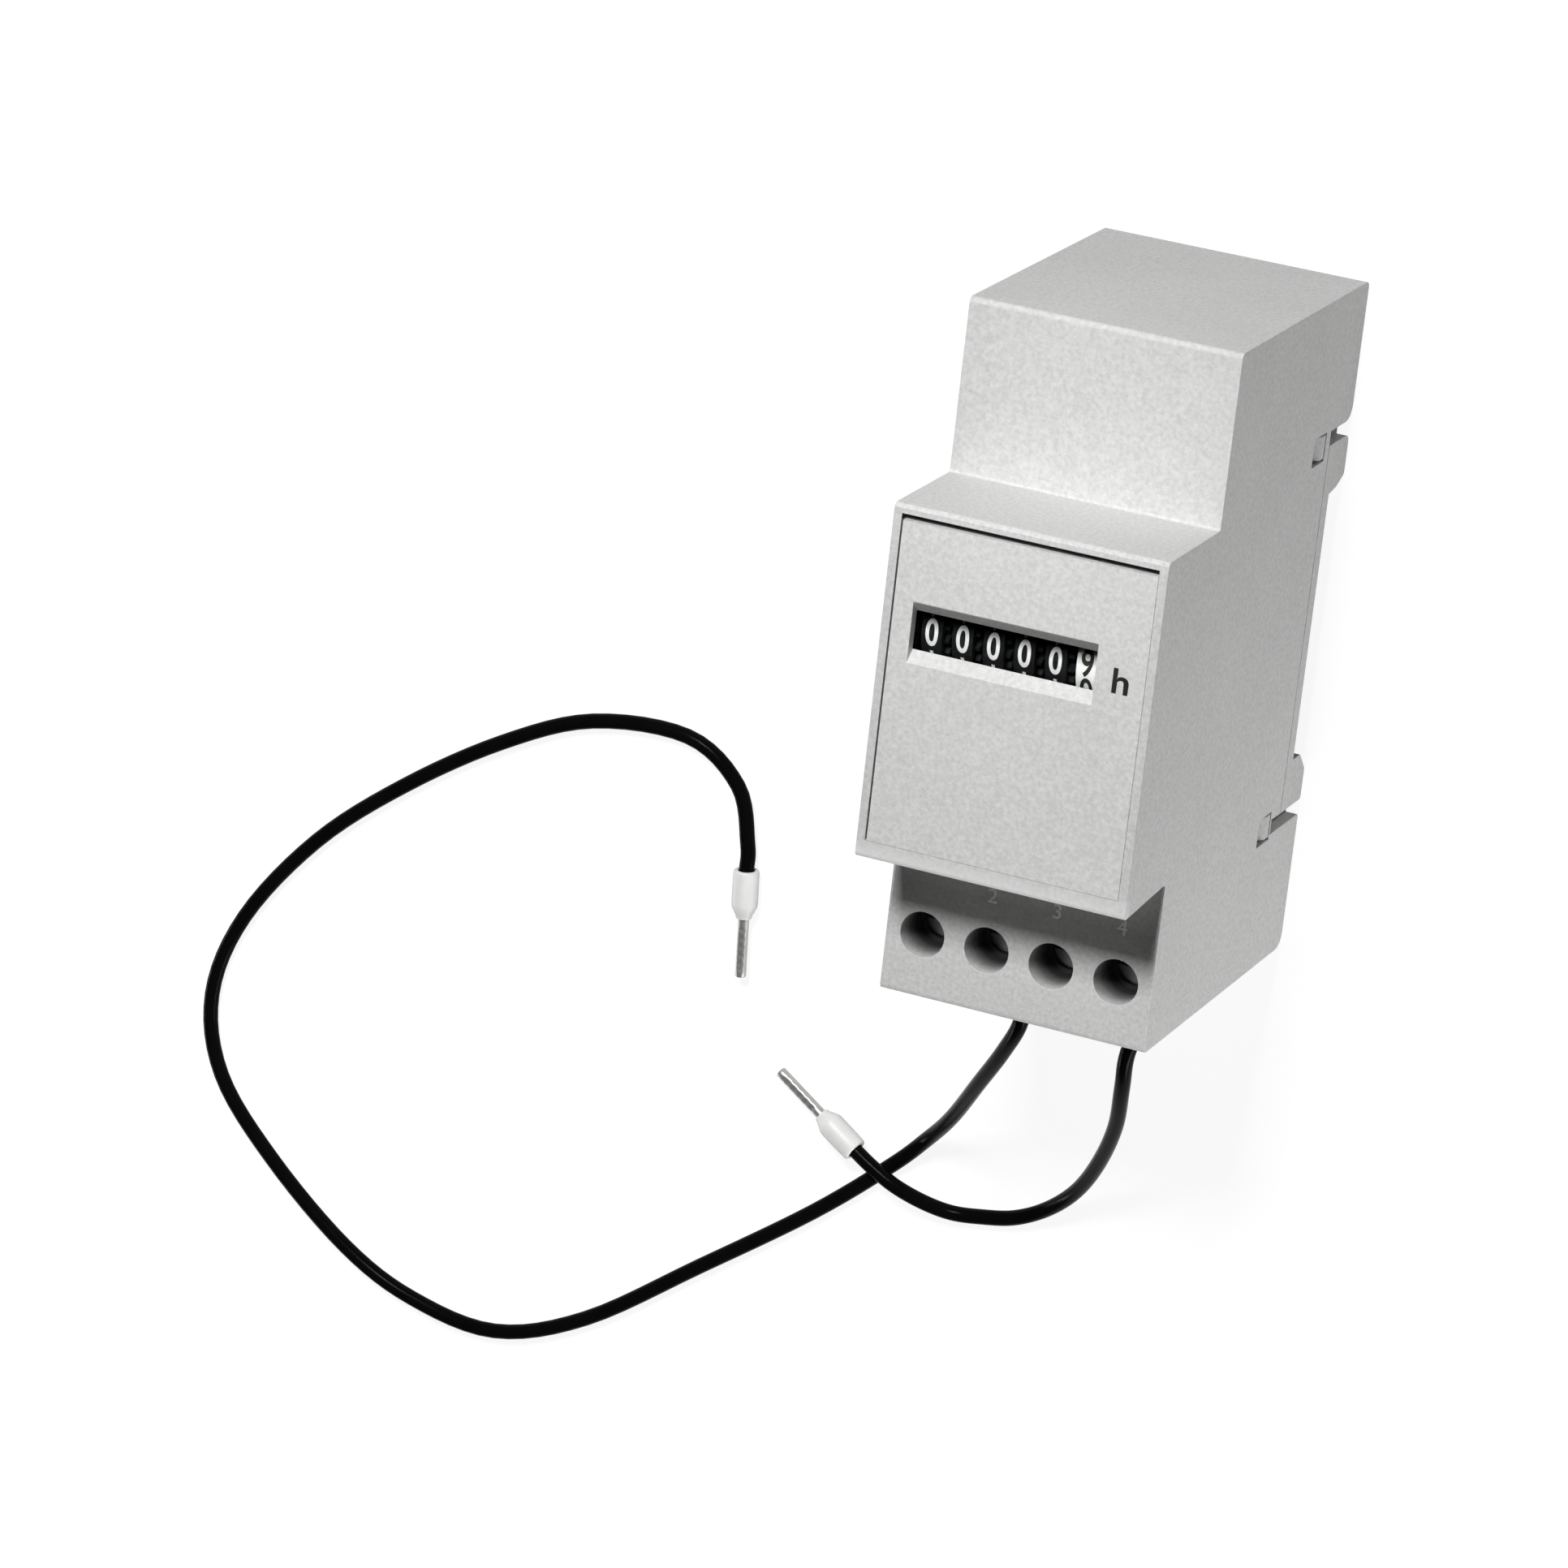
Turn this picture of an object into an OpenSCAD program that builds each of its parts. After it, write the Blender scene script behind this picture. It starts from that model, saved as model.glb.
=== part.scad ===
// Pulse counter for a mounting rail, with two connected leads.
// X runs across the width, Y up the height and Z out of the front. The back plane is Z = 0.

/* [Body] */
// Width across the side faces, two rail modules
body_w = 36; // [33:0.5:44]
// Height from the bottom face to the top face
body_h = 90; // [82:0.5:100]
// Wall thickness of the cover
wall = 1.6; // [1.3:0.1:1.8]
// Depth of the upper shoulder from the back plane
shoulder_z = 46.5; // [44:0.5:52]
// Depth of the lower terminal step from the back plane
step_z = 50; // [48:0.5:54]
// Depth of the nose from the back plane
nose_z = 64; // [62:0.5:68]
// Height of the nose
nose_h = 45; // [44:0.5:48]
// Rounding of the outer edges
edge_r = 0.8; // [0.3:0.1:1.2]
// Rounding of the lip under the front plate
lip_r = 1.4; // [0.5:0.1:1.5]
// Rounding of the corners at the back
back_r = 2; // [0.5:0.1:2.5]

/* [Rail seat] */
// Width of the mounting rail
rail_w = 35; // [34:0.1:35.5]
// Thickness of the rail's flange
rail_t = 1; // [0.8:0.1:1.3]
// Depth of the seat that the rail lies against
seat_z = 5.2; // [5:0.1:6]
// Play of the rail between the two seat edges
rail_play = 0.8; // [0.4:0.1:1.2]
// Reach of the hooks behind the rail
hook_reach = 1.8; // [1.2:0.1:2.2]
// Thickness of the base plate behind the seat
base_t = 2.3; // [2:0.1:3]
// Height of the base's flush tongue above the rail
tongue_h = 6.9; // [6:0.1:8]
// Height of the base's flush foot below the rail
foot_h = 6.7; // [6:0.1:8]
// Width of the gap between the base and the cover in the sides
side_gap = 2; // [1:0.1:2.4]
// Travel of the rail latch
latch_travel = 3; // [2.4:0.1:3.2]
// Width of the latch bar
latch_w = 9.2; // [8:0.2:11]
// Width of each guide wing of the latch
wing_w = 1.6; // [1:0.1:2]
// Thickness of the guide wings
wing_t = 1.2; // [0.8:0.1:1.4]
// Thickness of the latch bar
latch_t = 3.4; // [3:0.1:3.6]
// Running play round the latch
latch_play = 0.1; // [0.08:0.01:0.16]
// Outer diameter of the latch spring
spring_d = 2.8; // [2.2:0.1:3]
// Wire diameter of the latch spring
spring_wire = 0.35; // [0.3:0.05:0.5]
// Length of the latch spring at rest
spring_l = 10.5; // [9:0.5:12]

/* [Front plate] */
// Distance of the front plate from the side faces
plate_rim = 1.25; // [1.1:0.05:1.8]
// Width of the nose's rim above the front plate
plate_top_rim = 0.75; // [0.6:0.05:1.6]
// Thickness of the front plate
plate_t = 1.6; // [1.3:0.1:1.8]
// Gap beside and below the front plate
plate_gap = 0.15; // [0.05:0.05:0.25]
// Gap above the front plate, for the tool that levers it off
top_gap = 0.6; // [0.3:0.1:0.8]
// Depth of that gap below the back of the plate
groove_t = 1.2; // [0.6:0.1:1.4]
// Width of the lip below the front plate
lip_w = 1.5; // [1.2:0.1:1.9]
// Width of the ledge that the front plate lies on
ledge_w = 1.2; // [0.8:0.1:1.3]
// Thickness of that ledge
ledge_t = 1.2; // [0.8:0.1:1.4]

/* [Window] */
// Centre of the window, left of the middle
window_x = -2; // [-2.2:0.1:-1.8]
// Centre of the window, above the middle
window_y = 6.8; // [6:0.1:8]
// Margin of the window beside the outer wheels
window_margin = 0.6; // [0.3:0.1:0.7]
// Height of the window opening
window_h = 5; // [4.5:0.1:6]
// Width of the bevel above and below the window
bevel_w = 1.4; // [0.8:0.1:1.6]
// Thickness of the clear pane
lens_t = 0.8; // [0.5:0.1:0.9]
// Overlap of the pane round the window
lens_lap = 1.2; // [0.8:0.1:1.4]

/* [Number wheels] */
// Number of number wheels
wheels = 6; // [6]
// Part of the width that the row of number wheels leaves free
drive_room = 11.4; // [11.2:0.1:12]
// Diameter of the number wheels
wheel_d = 13.6; // [13.2:0.1:13.8]
// Gap between the rims of two wheels
gap_w = 1.4; // [1.35:0.05:1.6]
// Thickness of a wheel's rim
rim_t = 0.8; // [0.5:0.05:0.9]
// Thickness of a wheel's web
web_t = 0.9; // [0.6:0.1:1.2]
// Diameter of a wheel's hub
hub_d = 4; // [3.2:0.1:5]
// Diameter of the wheel shaft
shaft_d = 2; // [1.6:0.1:2.4]
// Running clearance of a shaft in its bore, on the radius
run = 0.05; // [0.03:0.01:0.08]
// Gap between the pane and the wheels
lens_gap = 0.3; // [0.2:0.05:0.6]
// Length of the hub boss beside the outer wheels
end_boss = 0.6; // [0.4:0.1:0.7]
// Axial play of the wheels
axial_play = 0.05; // [0.03:0.01:0.1]

/* [Carry pinions] */
// Module of the carry teeth
carry_m = 0.55; // [0.54:0.01:0.56]
// Teeth of the ring on a wheel
ring_teeth = 20; // [20]
// Teeth of a carry pinion
carry_teeth = 8; // [8]
// Width of the ring teeth
ring_w = 0.6; // [0.4:0.05:0.65]
// Width of the locking disc with the carry gap
disc_w = 0.5; // [0.3:0.05:0.55]
// Diameter of the pinion shaft
pinion_shaft_d = 1.2; // [1:0.1:1.4]
// Direction of the pinion shaft, seen from the wheel shaft
carry_angle = 285; // [280:1:290]

/* [Drive] */
// Module of the drive gears
drive_m = 0.4; // [0.38:0.01:0.4]
// Teeth of the large drive gears
gear_teeth = 30; // [28:1:30]
// Teeth of the small drive gears
small_teeth = 10; // [10:1:12]
// Width of the drive gear
gear_w = 1.2; // [0.8:0.1:1.3]
// Extra centre distance of each gear pair
mesh_gap = 0.05; // [0.03:0.01:0.1]
// Diameter of the idler stud
stud_d = 1.2; // [1:0.1:1.4]
// Direction of the idler, seen from the wheel shaft
idler_angle = 203; // [198:1:208]
// Direction of the motor, seen from the idler
motor_angle = 198; // [195:1:200]
// Diameter of the motor can
motor_d = 17; // [15:0.5:17.5]
// Length of the motor can
motor_l = 7.5; // [6:0.5:9]
// Diameter of the motor shaft
motor_shaft_d = 1.2; // [1:0.1:1.4]
// Diameter of the circle of motor screws
motor_screw_pcd = 13; // [12:0.5:13.5]
// Diameter of the motor screws
motor_screw_d = 1.6; // [1.4:0.1:1.8]
// Depth of the motor screws in the can
motor_screw_l = 3; // [2.4:0.1:3.4]

/* [Counter frame] */
// Thickness of the cheeks and the floor
cheek_t = 1.2; // [1:0.1:1.3]
// Distance of the cheeks' front edge from the pane
cheek_gap = 0.6; // [0.4:0.1:1]
// Diameter of the pegs that stand in the board
peg_d = 1.6; // [1.2:0.1:2]
// Length of a peg below the frame's foot
peg_l = 2.4; // [2:0.1:2.4]
// Width of the frame's foot beside the motor
foot_w = 5; // [4:0.5:6]

/* [Circuit board] */
// Depth of the board's underside
board_z = 35.7; // [35.3:0.1:35.9]
// Thickness of the board
board_t = 1.6; // [1.2:0.1:1.6]
// Gap between the board and the cover
board_gap = 0.6; // [0.3:0.1:1]
// Distance of the pillars from the board's side edges
pillar_inset = 2.6; // [2.4:0.1:2.7]
// Gap between the contact bars and the lower pillars
pillar_gap = 1.1; // [0.4:0.1:2]
// Distance of the upper pillars from the board's top edge
pillar_top = 4.1; // [3:0.1:5]
// Diameter of the pillars
pillar_d = 4.6; // [4:0.1:5]
// Diameter of the board screws
board_screw_d = 1.8; // [1.6:0.1:2.2]

/* [Terminals] */
// Number of terminals
terminals = 4; // [4]
// Margin of the row of terminals at each side
terminal_margin = 0.5; // [0.3:0.05:0.7]
// Distance of the screw row from the bottom face
screw_inset = 8.4; // [8.2:0.1:8.6]
// Diameter of the screw wells
well_d = 6; // [5.6:0.1:6.2]
// Depth of the screw wells
well_l = 7.6; // [7.4:0.1:7.6]
// Wall thickness of the screw wells
well_wall = 0.9; // [0.7:0.1:1.1]
// Thickness of the bottom of a well, which holds the screw in
well_floor = 0.6; // [0.5:0.1:1]
// Opening in the bottom of a well
driver_d = 5; // [4.4:0.1:5]
// Diameter of the wire entries
entry_d = 5; // [4.8:0.1:5.2]
// Depth of the wire entries
entry_z = 33.2; // [33:0.1:33.4]
// Diameter of a screw head
head_d = 5.6; // [5.2:0.1:5.7]
// Thickness of a screw head
head_t = 2; // [1.6:0.1:2]
// Thread diameter of a screw
thread_d = 3; // [2.8:0.1:3]
// Width of the screwdriver slot
slot_w = 0.8; // [0.6:0.1:1]
// Depth of the screwdriver slot
slot_depth = 1; // [0.6:0.1:1.2]
// Width of a clamp cage
cage_w = 5.4; // [5.2:0.1:5.5]
// Length of a clamp cage along the wire
cage_l = 6.6; // [6:0.1:6.8]
// Thickness of the cage's sides and floor
cage_t = 1; // [0.8:0.05:1]
// Thickness of the cage's threaded top
cage_top = 1.8; // [1.4:0.1:1.8]
// Free height inside a cage
cage_room = 5; // [4.8:0.1:5]
// Travel of a cage
cage_travel = 2.25; // [1.8:0.05:2.3]
// Play between a cage and its pocket
pocket_play = 0.25; // [0.15:0.05:0.25]
// Width of a contact bar
bar_w = 3.2; // [2.8:0.1:3.2]
// Thickness of a contact bar
bar_t = 1; // [0.8:0.1:1]
// Length of a contact bar under the board
bar_reach = 5; // [3.5:0.1:5.2]

/* [Leads] */
// Diameter over the insulation
wire_d = 2.1; // [2:0.05:2.1]
// Diameter of the stripped strands in a clamp
strand_d = 1.3; // [1.1:0.05:1.3]
// Length of a ferrule's collar
collar_l = 6.8; // [6:0.1:8]
// Diameter of a ferrule's collar
collar_d = 3.6; // [3:0.1:3.6]
// Diameter of a ferrule's sleeve
sleeve_d = 1.5; // [1.4:0.05:1.6]
// Length of the sleeve in front of the collar
sleeve_l = 8.3; // [7:0.1:9]

/* [Hidden] */
$fn = 48;

// Colours of the finishes
grey_plastic = [0.80, 0.81, 0.80];
black_plastic = [0.05, 0.05, 0.05];
white_plastic = [0.93, 0.93, 0.91];
steel = [0.62, 0.63, 0.64];
tinned = [0.75, 0.75, 0.73];
brass = [0.72, 0.58, 0.30];

// Outline of the body
side_x = body_w / 2;
inner_x = side_x - wall;
top_y = body_h / 2;
bottom_y = -body_h / 2;
nose_top = nose_h / 2;
nose_bottom = -nose_h / 2;
screw_y = bottom_y + screw_inset;

// Rail seat: the upper hooks hold the rail's upper edge, the latch its lower edge
upper_seat = rail_w / 2 + rail_play / 2;
lower_seat = -upper_seat;
base_top = seat_z + base_t;
tongue_top = upper_seat + tongue_h;
foot_bottom = lower_seat - foot_h;
upper_gap = tongue_top + side_gap;
lower_gap = foot_bottom - side_gap;
seam = 0.1;
fit_gap = 0.1;
hook_top = seat_z - rail_t - 0.4;
floor_t = 2;

// Latch bar and its channel
latch_z0 = hook_top - latch_t;
latch_nose = lower_seat + hook_reach;
latch_end = bottom_y + 0.2;
post_l = 2;
stop_y = latch_end + 5.2;
spring_y0 = stop_y + post_l;
spring_z = (latch_z0 + hook_top) / 2;
spring_slot_w = spring_d + 0.8;
wing_y0 = latch_end + 3.9;
wing_y1 = lower_seat - 6;

// Front plate in the nose
plate_w = body_w - 2 * plate_rim;
plate_h = nose_h - lip_w - plate_gap - top_gap - plate_top_rim;
plate_y0 = nose_bottom + lip_w + plate_gap;
plate_y1 = plate_y0 + plate_h;
plate_z0 = nose_z - plate_t;
pane_z0 = plate_z0 - lens_t;

// Number wheels on their shaft
wheel_r = wheel_d / 2;
wheel_y = window_y;
wheel_z = pane_z0 - lens_gap - wheel_r;
wheel_pitch = (body_w - drive_room) / wheels;
rim_w = wheel_pitch - gap_w;
row_half = (wheels - 1) * wheel_pitch / 2 + rim_w / 2;
left_cheek_x = window_x - row_half - end_boss - axial_play;
right_cheek_x = window_x + row_half + end_boss + axial_play;
window_w = 2 * (row_half + window_margin);
shaft_r = shaft_d / 2;
function wheel_x(k) = window_x + (wheels - 1) * wheel_pitch / 2 - (k - 1) * wheel_pitch;

// Carry pinions behind the wheels
carry_reach = carry_m * (ring_teeth + carry_teeth) / 2 + mesh_gap;
carry_y = wheel_y + carry_reach * cos(carry_angle);
carry_z = wheel_z + carry_reach * sin(carry_angle);
pinion_tip = carry_m * carry_teeth / 2 + carry_m;
disc_r = carry_reach - pinion_tip - 0.15;

// Drive train outside the right cheek
drive_reach = drive_m * (gear_teeth + small_teeth) / 2 + mesh_gap;
idler_y = wheel_y + drive_reach * cos(idler_angle);
idler_z = wheel_z + drive_reach * sin(idler_angle);
motor_y = idler_y + drive_reach * cos(motor_angle);
motor_z = idler_z + drive_reach * sin(motor_angle);
train_x0 = right_cheek_x + cheek_t + 0.25;
train_x1 = train_x0 + gear_w + 0.2;
train_x2 = train_x1 + gear_w;

// Circuit board and counter frame
board_top = board_z + board_t;
board_x = inner_x - board_gap;
board_y0 = screw_y + cage_l / 2 + pocket_play + 3.6;
board_y1 = top_y - wall - board_gap - 1.2;
frame_y0 = motor_y - motor_d / 2 - 0.8;
frame_y1 = wheel_y + wheel_r + 0.8;
left_y0 = wheel_y - wheel_r - 0.6;
cheek_top = pane_z0 - cheek_gap;
pegs = [
    [right_cheek_x - 2, frame_y0 + 2], [right_cheek_x - 2, frame_y1 - 2],
    [left_cheek_x + 2, left_y0 + 2], [left_cheek_x + 2, frame_y1 - 2]
];
board_screw_l = 6;
screw_head_d = 3.2;

// Terminals: the bar lies against the board's underside and the cage rises round it
bar_z0 = board_z - bar_t;
clamp_z = bar_z0 - strand_d / 2;
cage_floor = bar_z0 - strand_d - 0.1;
cage_z0 = cage_floor - cage_t;
cage_z1 = cage_floor + cage_room + cage_top;
head_z0 = cage_z1 + 0.15;
well_z0 = step_z - well_l;
block_z1 = well_z0 - fit_gap;
block_z0 = cage_z0 - cage_travel - 1.8;
pocket_l = cage_l + 2 * pocket_play;
pocket_y0 = screw_y - pocket_l / 2;
pocket_y1 = screw_y + pocket_l / 2;
block_y0 = bottom_y + wall + fit_gap;
block_y1 = pocket_y1 + 2.6;
bar_y0 = pocket_y0;
bar_y1 = board_y0 + bar_reach;
terminal_pitch = (body_w - 2 * terminal_margin) / terminals;
function terminal_x(k) = (k - (terminals + 1) / 2) * terminal_pitch;

// Pillars of the board, clear of the contact bars
pillar_x = board_x - pillar_inset;
pillar_ys = [bar_y1 + pillar_gap + pillar_d / 2, board_y1 - pillar_top];
pillars = [for (side = [-1, 1], y = pillar_ys) [side * pillar_x, y]];
gusset_l = 5;
gusset_h = 18;

// Lead routes, from the clamp to the ferrule, in points chosen by hand.
// X is counted from the terminal's axis and Y from the bottom face.
wire_r = wire_d / 2;
route_1 = [
    [0, 3.7, 34], [0, 0, 33.6], [-0.6, -6.5, 32], [-4.1, -13, 27.5], [-9.9, -21.5, 19.5],
    [-16.6, -31, 9.5], [-22.2, -37.7, 3], [-27.6, -43.5, 1.1], [-38.1, -53, 1.1], [-53.6, -65, 1.1],
    [-69.6, -77, 1.1], [-83.1, -82.5, 1.1], [-96.1, -81, 1.1], [-107.1, -76, 1.1], [-119.6, -66, 1.1],
    [-128.6, -55.5, 1.1], [-131.1, -44, 1.1], [-127.1, -31.5, 1.1], [-117.1, -18, 1.1],
    [-104.6, -7, 1.1], [-90.6, 2.5, 1.1], [-77.6, 8.5, 1.1], [-63.6, 9.5, 1.1], [-55.6, 4.4, 1.25],
    [-53.1, -3.2, 1.65], [-52.8, -6.8, 1.8], [-52.64, -9.8, 1.8]
];
route_2 = [
    [0, 3.7, 34], [-0.7, 0, 33.6], [-3.1, -7, 32.5], [-4.6, -13.5, 28.6], [-7.4, -22, 21],
    [-11.9, -30.9, 12.6], [-16.7, -38.2, 6], [-21.6, -43.2, 2.6], [-26.6, -46.2, 1.3],
    [-31.6, -47.4, 1.1], [-35.6, -47.7, 1.5], [-39.4, -46.8, 2.5], [-43.3, -45.2, 3.4],
    [-46.8, -43.5, 3.25], [-49.7, -41.9, 2.85], [-52.26, -40.39, 2.43]
];
// Where each collar starts, how far it is turned from +X, and how far it points down
ferrule_1 = [[-52.8, -6.8, 1.8], -87, 0];
ferrule_2 = [[-49.7, -41.9, 2.85], 149.4, 8];
function entry(k) = [terminal_x(k), bottom_y, 0];
wire_depth = 3;
core_r = sleeve_d / 2 - 0.2;

// Prism from x0 to x1 of an outline drawn in Y and Z
module along_x(x0, x1) {
    translate([x0, 0, 0]) rotate([90, 0, 90]) linear_extrude(x1 - x0) children();
}

// Round bar along X
module bar_x(x0, x1, y, z, r) {
    translate([x0, y, z]) rotate([90, 0, 90]) cylinder(r = r, h = x1 - x0);
}

function unit(v) = v / norm(v);
function xy(p) = [p[0], p[1]];

// Points of one rounded corner, given as [x, y, radius], between its neighbours
function corner(before, at, after, steps = 4) =
    at[2] <= 0 ? [xy(at)] :
    let(
        u = unit(xy(before) - xy(at)),
        v = unit(xy(after) - xy(at)),
        half = acos(u * v) / 2,
        centre = xy(at) + unit(u + v) * at[2] / sin(half),
        a = xy(at) + u * at[2] / tan(half) - centre,
        b = xy(at) + v * at[2] / tan(half) - centre,
        swing = 180 - 2 * half
    )
    [for (i = [0:steps]) let(t = i / steps) centre + (a * sin((1 - t) * swing) + b * sin(t * swing)) / sin(swing)];

// Outline with rounded corners from a list of [x, y, radius]
function rounded(p) =
    let(n = len(p)) [for (i = [0:n - 1]) each corner(p[(i + n - 1) % n], p[i], p[(i + 1) % n])];

// Gear outline with involute flanks, one tooth pointing along +X
pressure = 20;
function involute(a) = tan(a) * 180 / PI - a;
function polar(r, a) = [r * cos(a), r * sin(a)];
function half_tooth(r, m, teeth, slack) =
    let(pitch_r = m * teeth / 2, base_r = pitch_r * cos(pressure))
    90 / teeth - slack / pitch_r * 90 / PI + involute(pressure) - (r > base_r ? involute(acos(base_r / r)) : 0);
function gear(m, teeth, slack, tip = 1, root = 1.25) =
    let(
        pitch_r = m * teeth / 2,
        tip_r = pitch_r + m * tip,
        root_r = pitch_r - m * root,
        flank_r = max(root_r, pitch_r * cos(pressure)),
        foot = half_tooth(flank_r, m, teeth, slack),
        head = half_tooth(tip_r, m, teeth, slack)
    )
    [
        for (i = [0:teeth - 1]) let(a = 360 * i / teeth)
        each [
            polar(root_r, a - foot), polar(flank_r, a - foot), polar(tip_r, a - head),
            polar(tip_r, a + head), polar(flank_r, a + foot), polar(root_r, a + foot)
        ]
    ];
carry_slack = 0.16;
drive_slack = 0.12;

// Side outline of the cover, and of its hollow
module cover_outline() {
    polygon(rounded([
        [top_y, 0, edge_r], [top_y, shoulder_z, edge_r], [nose_top, shoulder_z, 0.4],
        [nose_top, nose_z, edge_r], [nose_bottom, nose_z, lip_r], [nose_bottom, step_z, 0.4],
        [bottom_y, step_z, edge_r], [bottom_y, 0, back_r], [lower_gap, 0, 0.6],
        [lower_gap, base_top + 3.3, 0], [foot_bottom, base_top + 3.3, 0], [foot_bottom, base_top + seam, 0],
        [upper_gap, base_top + seam, 0], [upper_gap, 0, back_r]
    ]));
}

module hollow_outline() {
    polygon([
        [top_y - wall, -1], [top_y - wall, shoulder_z - wall], [nose_top - wall, shoulder_z - wall],
        [nose_top - wall, nose_z - plate_t], [nose_bottom + wall, nose_z - plate_t],
        [nose_bottom + wall, step_z - wall], [bottom_y + wall, step_z - wall], [bottom_y + wall, -1]
    ]);
}

// Windows in the sides, in which the snap noses of the base lie
snap_x0 = inner_x - fit_gap;
snap_h = 3.4;
upper_snap = [upper_gap - snap_h - 0.2, base_top + 1.6];
lower_snap = [lower_gap - 0.6, base_top + 3.6];
snap_l = 4.6;

module snap_windows() {
    for (at = [upper_snap, lower_snap]) {
        translate([-side_x - 1, at[0], at[1]]) cube([body_w + 2, snap_h + 0.4, snap_l]);
    }
}

module ledge() {
    ledge_x = plate_w / 2 - ledge_w;
    difference() {
        translate([-inner_x - 0.5, nose_bottom + 1, plate_z0 - ledge_t])
            cube([2 * inner_x + 1, nose_h - 2, ledge_t]);
        translate([-ledge_x, plate_y0 + ledge_w, plate_z0 - ledge_t - 1])
            cube([2 * ledge_x, plate_h - 2 * ledge_w, ledge_t + 2]);
    }
}

module housing_cover() color(grey_plastic) difference() {
    union() {
        difference() {
            along_x(-side_x, side_x) cover_outline();
            difference() {
                along_x(-inner_x, inner_x) hollow_outline();
                ledge();
            }
        }
        intersection() {
            for (k = [1:terminals]) {
                translate([terminal_x(k), screw_y, well_z0]) cylinder(d = well_d + 2 * well_wall, h = well_l - 0.5);
            }
            translate([-side_x + 0.5, bottom_y + 0.5, 0]) cube([body_w - 1, nose_h, step_z]);
        }
    }
    translate([-plate_w / 2 - plate_gap, plate_y0 - plate_gap, plate_z0])
        cube([plate_w + 2 * plate_gap, plate_h + plate_gap + top_gap, plate_t + 1]);
    translate([-plate_w / 2 - plate_gap, plate_y1, plate_z0 - groove_t])
        cube([plate_w + 2 * plate_gap, top_gap, groove_t + 1]);
    for (k = [1:terminals]) {
        translate([terminal_x(k), screw_y, well_z0 + well_floor]) cylinder(d = well_d, h = well_l);
        translate([terminal_x(k), screw_y, well_z0 - 1]) cylinder(d = driver_d, h = well_l);
        translate([terminal_x(k), bottom_y + wall + 1, entry_z]) rotate([90, 0, 0]) cylinder(d = entry_d, h = wall + 2);
    }
    snap_windows();
    // Notch in the bottom face for the end of the latch
    translate([-latch_w / 2 - wing_w - 0.6, bottom_y - 1, -1])
        cube([latch_w + 2 * wing_w + 1.2, wall + 1.5, hook_top + 1.6]);
}

// Back outline of the base, with the seat, and the flush part that shows in the sides
module base_outline() {
    polygon([
        [block_y0, 0], [lower_seat - 2.5, 0], [lower_seat, 2.5], [lower_seat, seat_z], [upper_seat, seat_z],
        [upper_seat + 0.4, 2.6], [upper_seat + 1.2, 0], [top_y - wall - fit_gap, 0],
        [top_y - wall - fit_gap, floor_t], [tongue_top, floor_t], [tongue_top, base_top], [block_y0, base_top]
    ]);
}

module flush_outline() {
    polygon(rounded([
        [foot_bottom, 0, 0.5], [lower_seat - 2.5, 0, 0], [lower_seat, 2.5, 0], [lower_seat, seat_z, 0],
        [upper_seat, seat_z, 0], [upper_seat + 0.4, 2.6, 1], [upper_seat + 1.6, 0, 0.5], [tongue_top, 0, 1.2],
        [tongue_top, base_top, 0], [foot_bottom, base_top, 0]
    ]));
}

module hooks() {
    for (side = [-1, 1]) {
        along_x(side * 10 - 4, side * 10 + 4)
            polygon([
                [upper_seat + 1, 0.4], [upper_seat - hook_reach + 1, 0.4], [upper_seat - hook_reach, 1.4],
                [upper_seat - hook_reach, hook_top], [upper_seat + 1, hook_top]
            ]);
    }
}

// One snap arm inside the side wall, with its nose in the wall's window
module snap_arm(side, at) {
    arm_x = snap_x0 - 1.3;
    y0 = at[0] + 0.35;
    width = snap_h - 0.3;
    z1 = at[1] + snap_l - 0.35;
    mirror([side < 0 ? 1 : 0, 0, 0]) {
        translate([arm_x, y0, base_top - 1]) cube([1.3, width, z1 - base_top + 1]);
        translate([0, y0 + width, 0]) rotate([90, 0, 0]) linear_extrude(width)
            polygon([
                [snap_x0 - 0.2, at[1] + 0.2], [side_x - 0.1, at[1] + 0.2],
                [side_x - 0.1, at[1] + 1.6], [snap_x0 - 0.2, z1]
            ]);
    }
}

module pillar(at) {
    foot = at[1] > tongue_top ? 0.5 : base_top - 1;
    difference() {
        union() {
            translate([at[0], at[1], foot]) cylinder(d = pillar_d, h = board_z - foot);
            translate([at[0] - 0.6, at[1] - gusset_l, foot]) cube([1.2, gusset_l, gusset_h]);
        }
        translate([at[0], at[1], board_z - board_screw_l - 1]) cylinder(d = board_screw_d, h = board_screw_l + 2);
    }
}

module latch_channel() {
    wings = latch_w / 2 + wing_w + latch_play;
    translate([-latch_w / 2 - latch_play, block_y0 - 1, -1])
        cube([latch_w + 2 * latch_play, lower_seat - block_y0 + 2, hook_top + latch_play + 1]);
    translate([-wings, block_y0 - 1, hook_top - wing_t - latch_play])
        cube([2 * wings, wing_y1 + latch_play - block_y0 + 1, wing_t + 2 * latch_play]);
}

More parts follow.
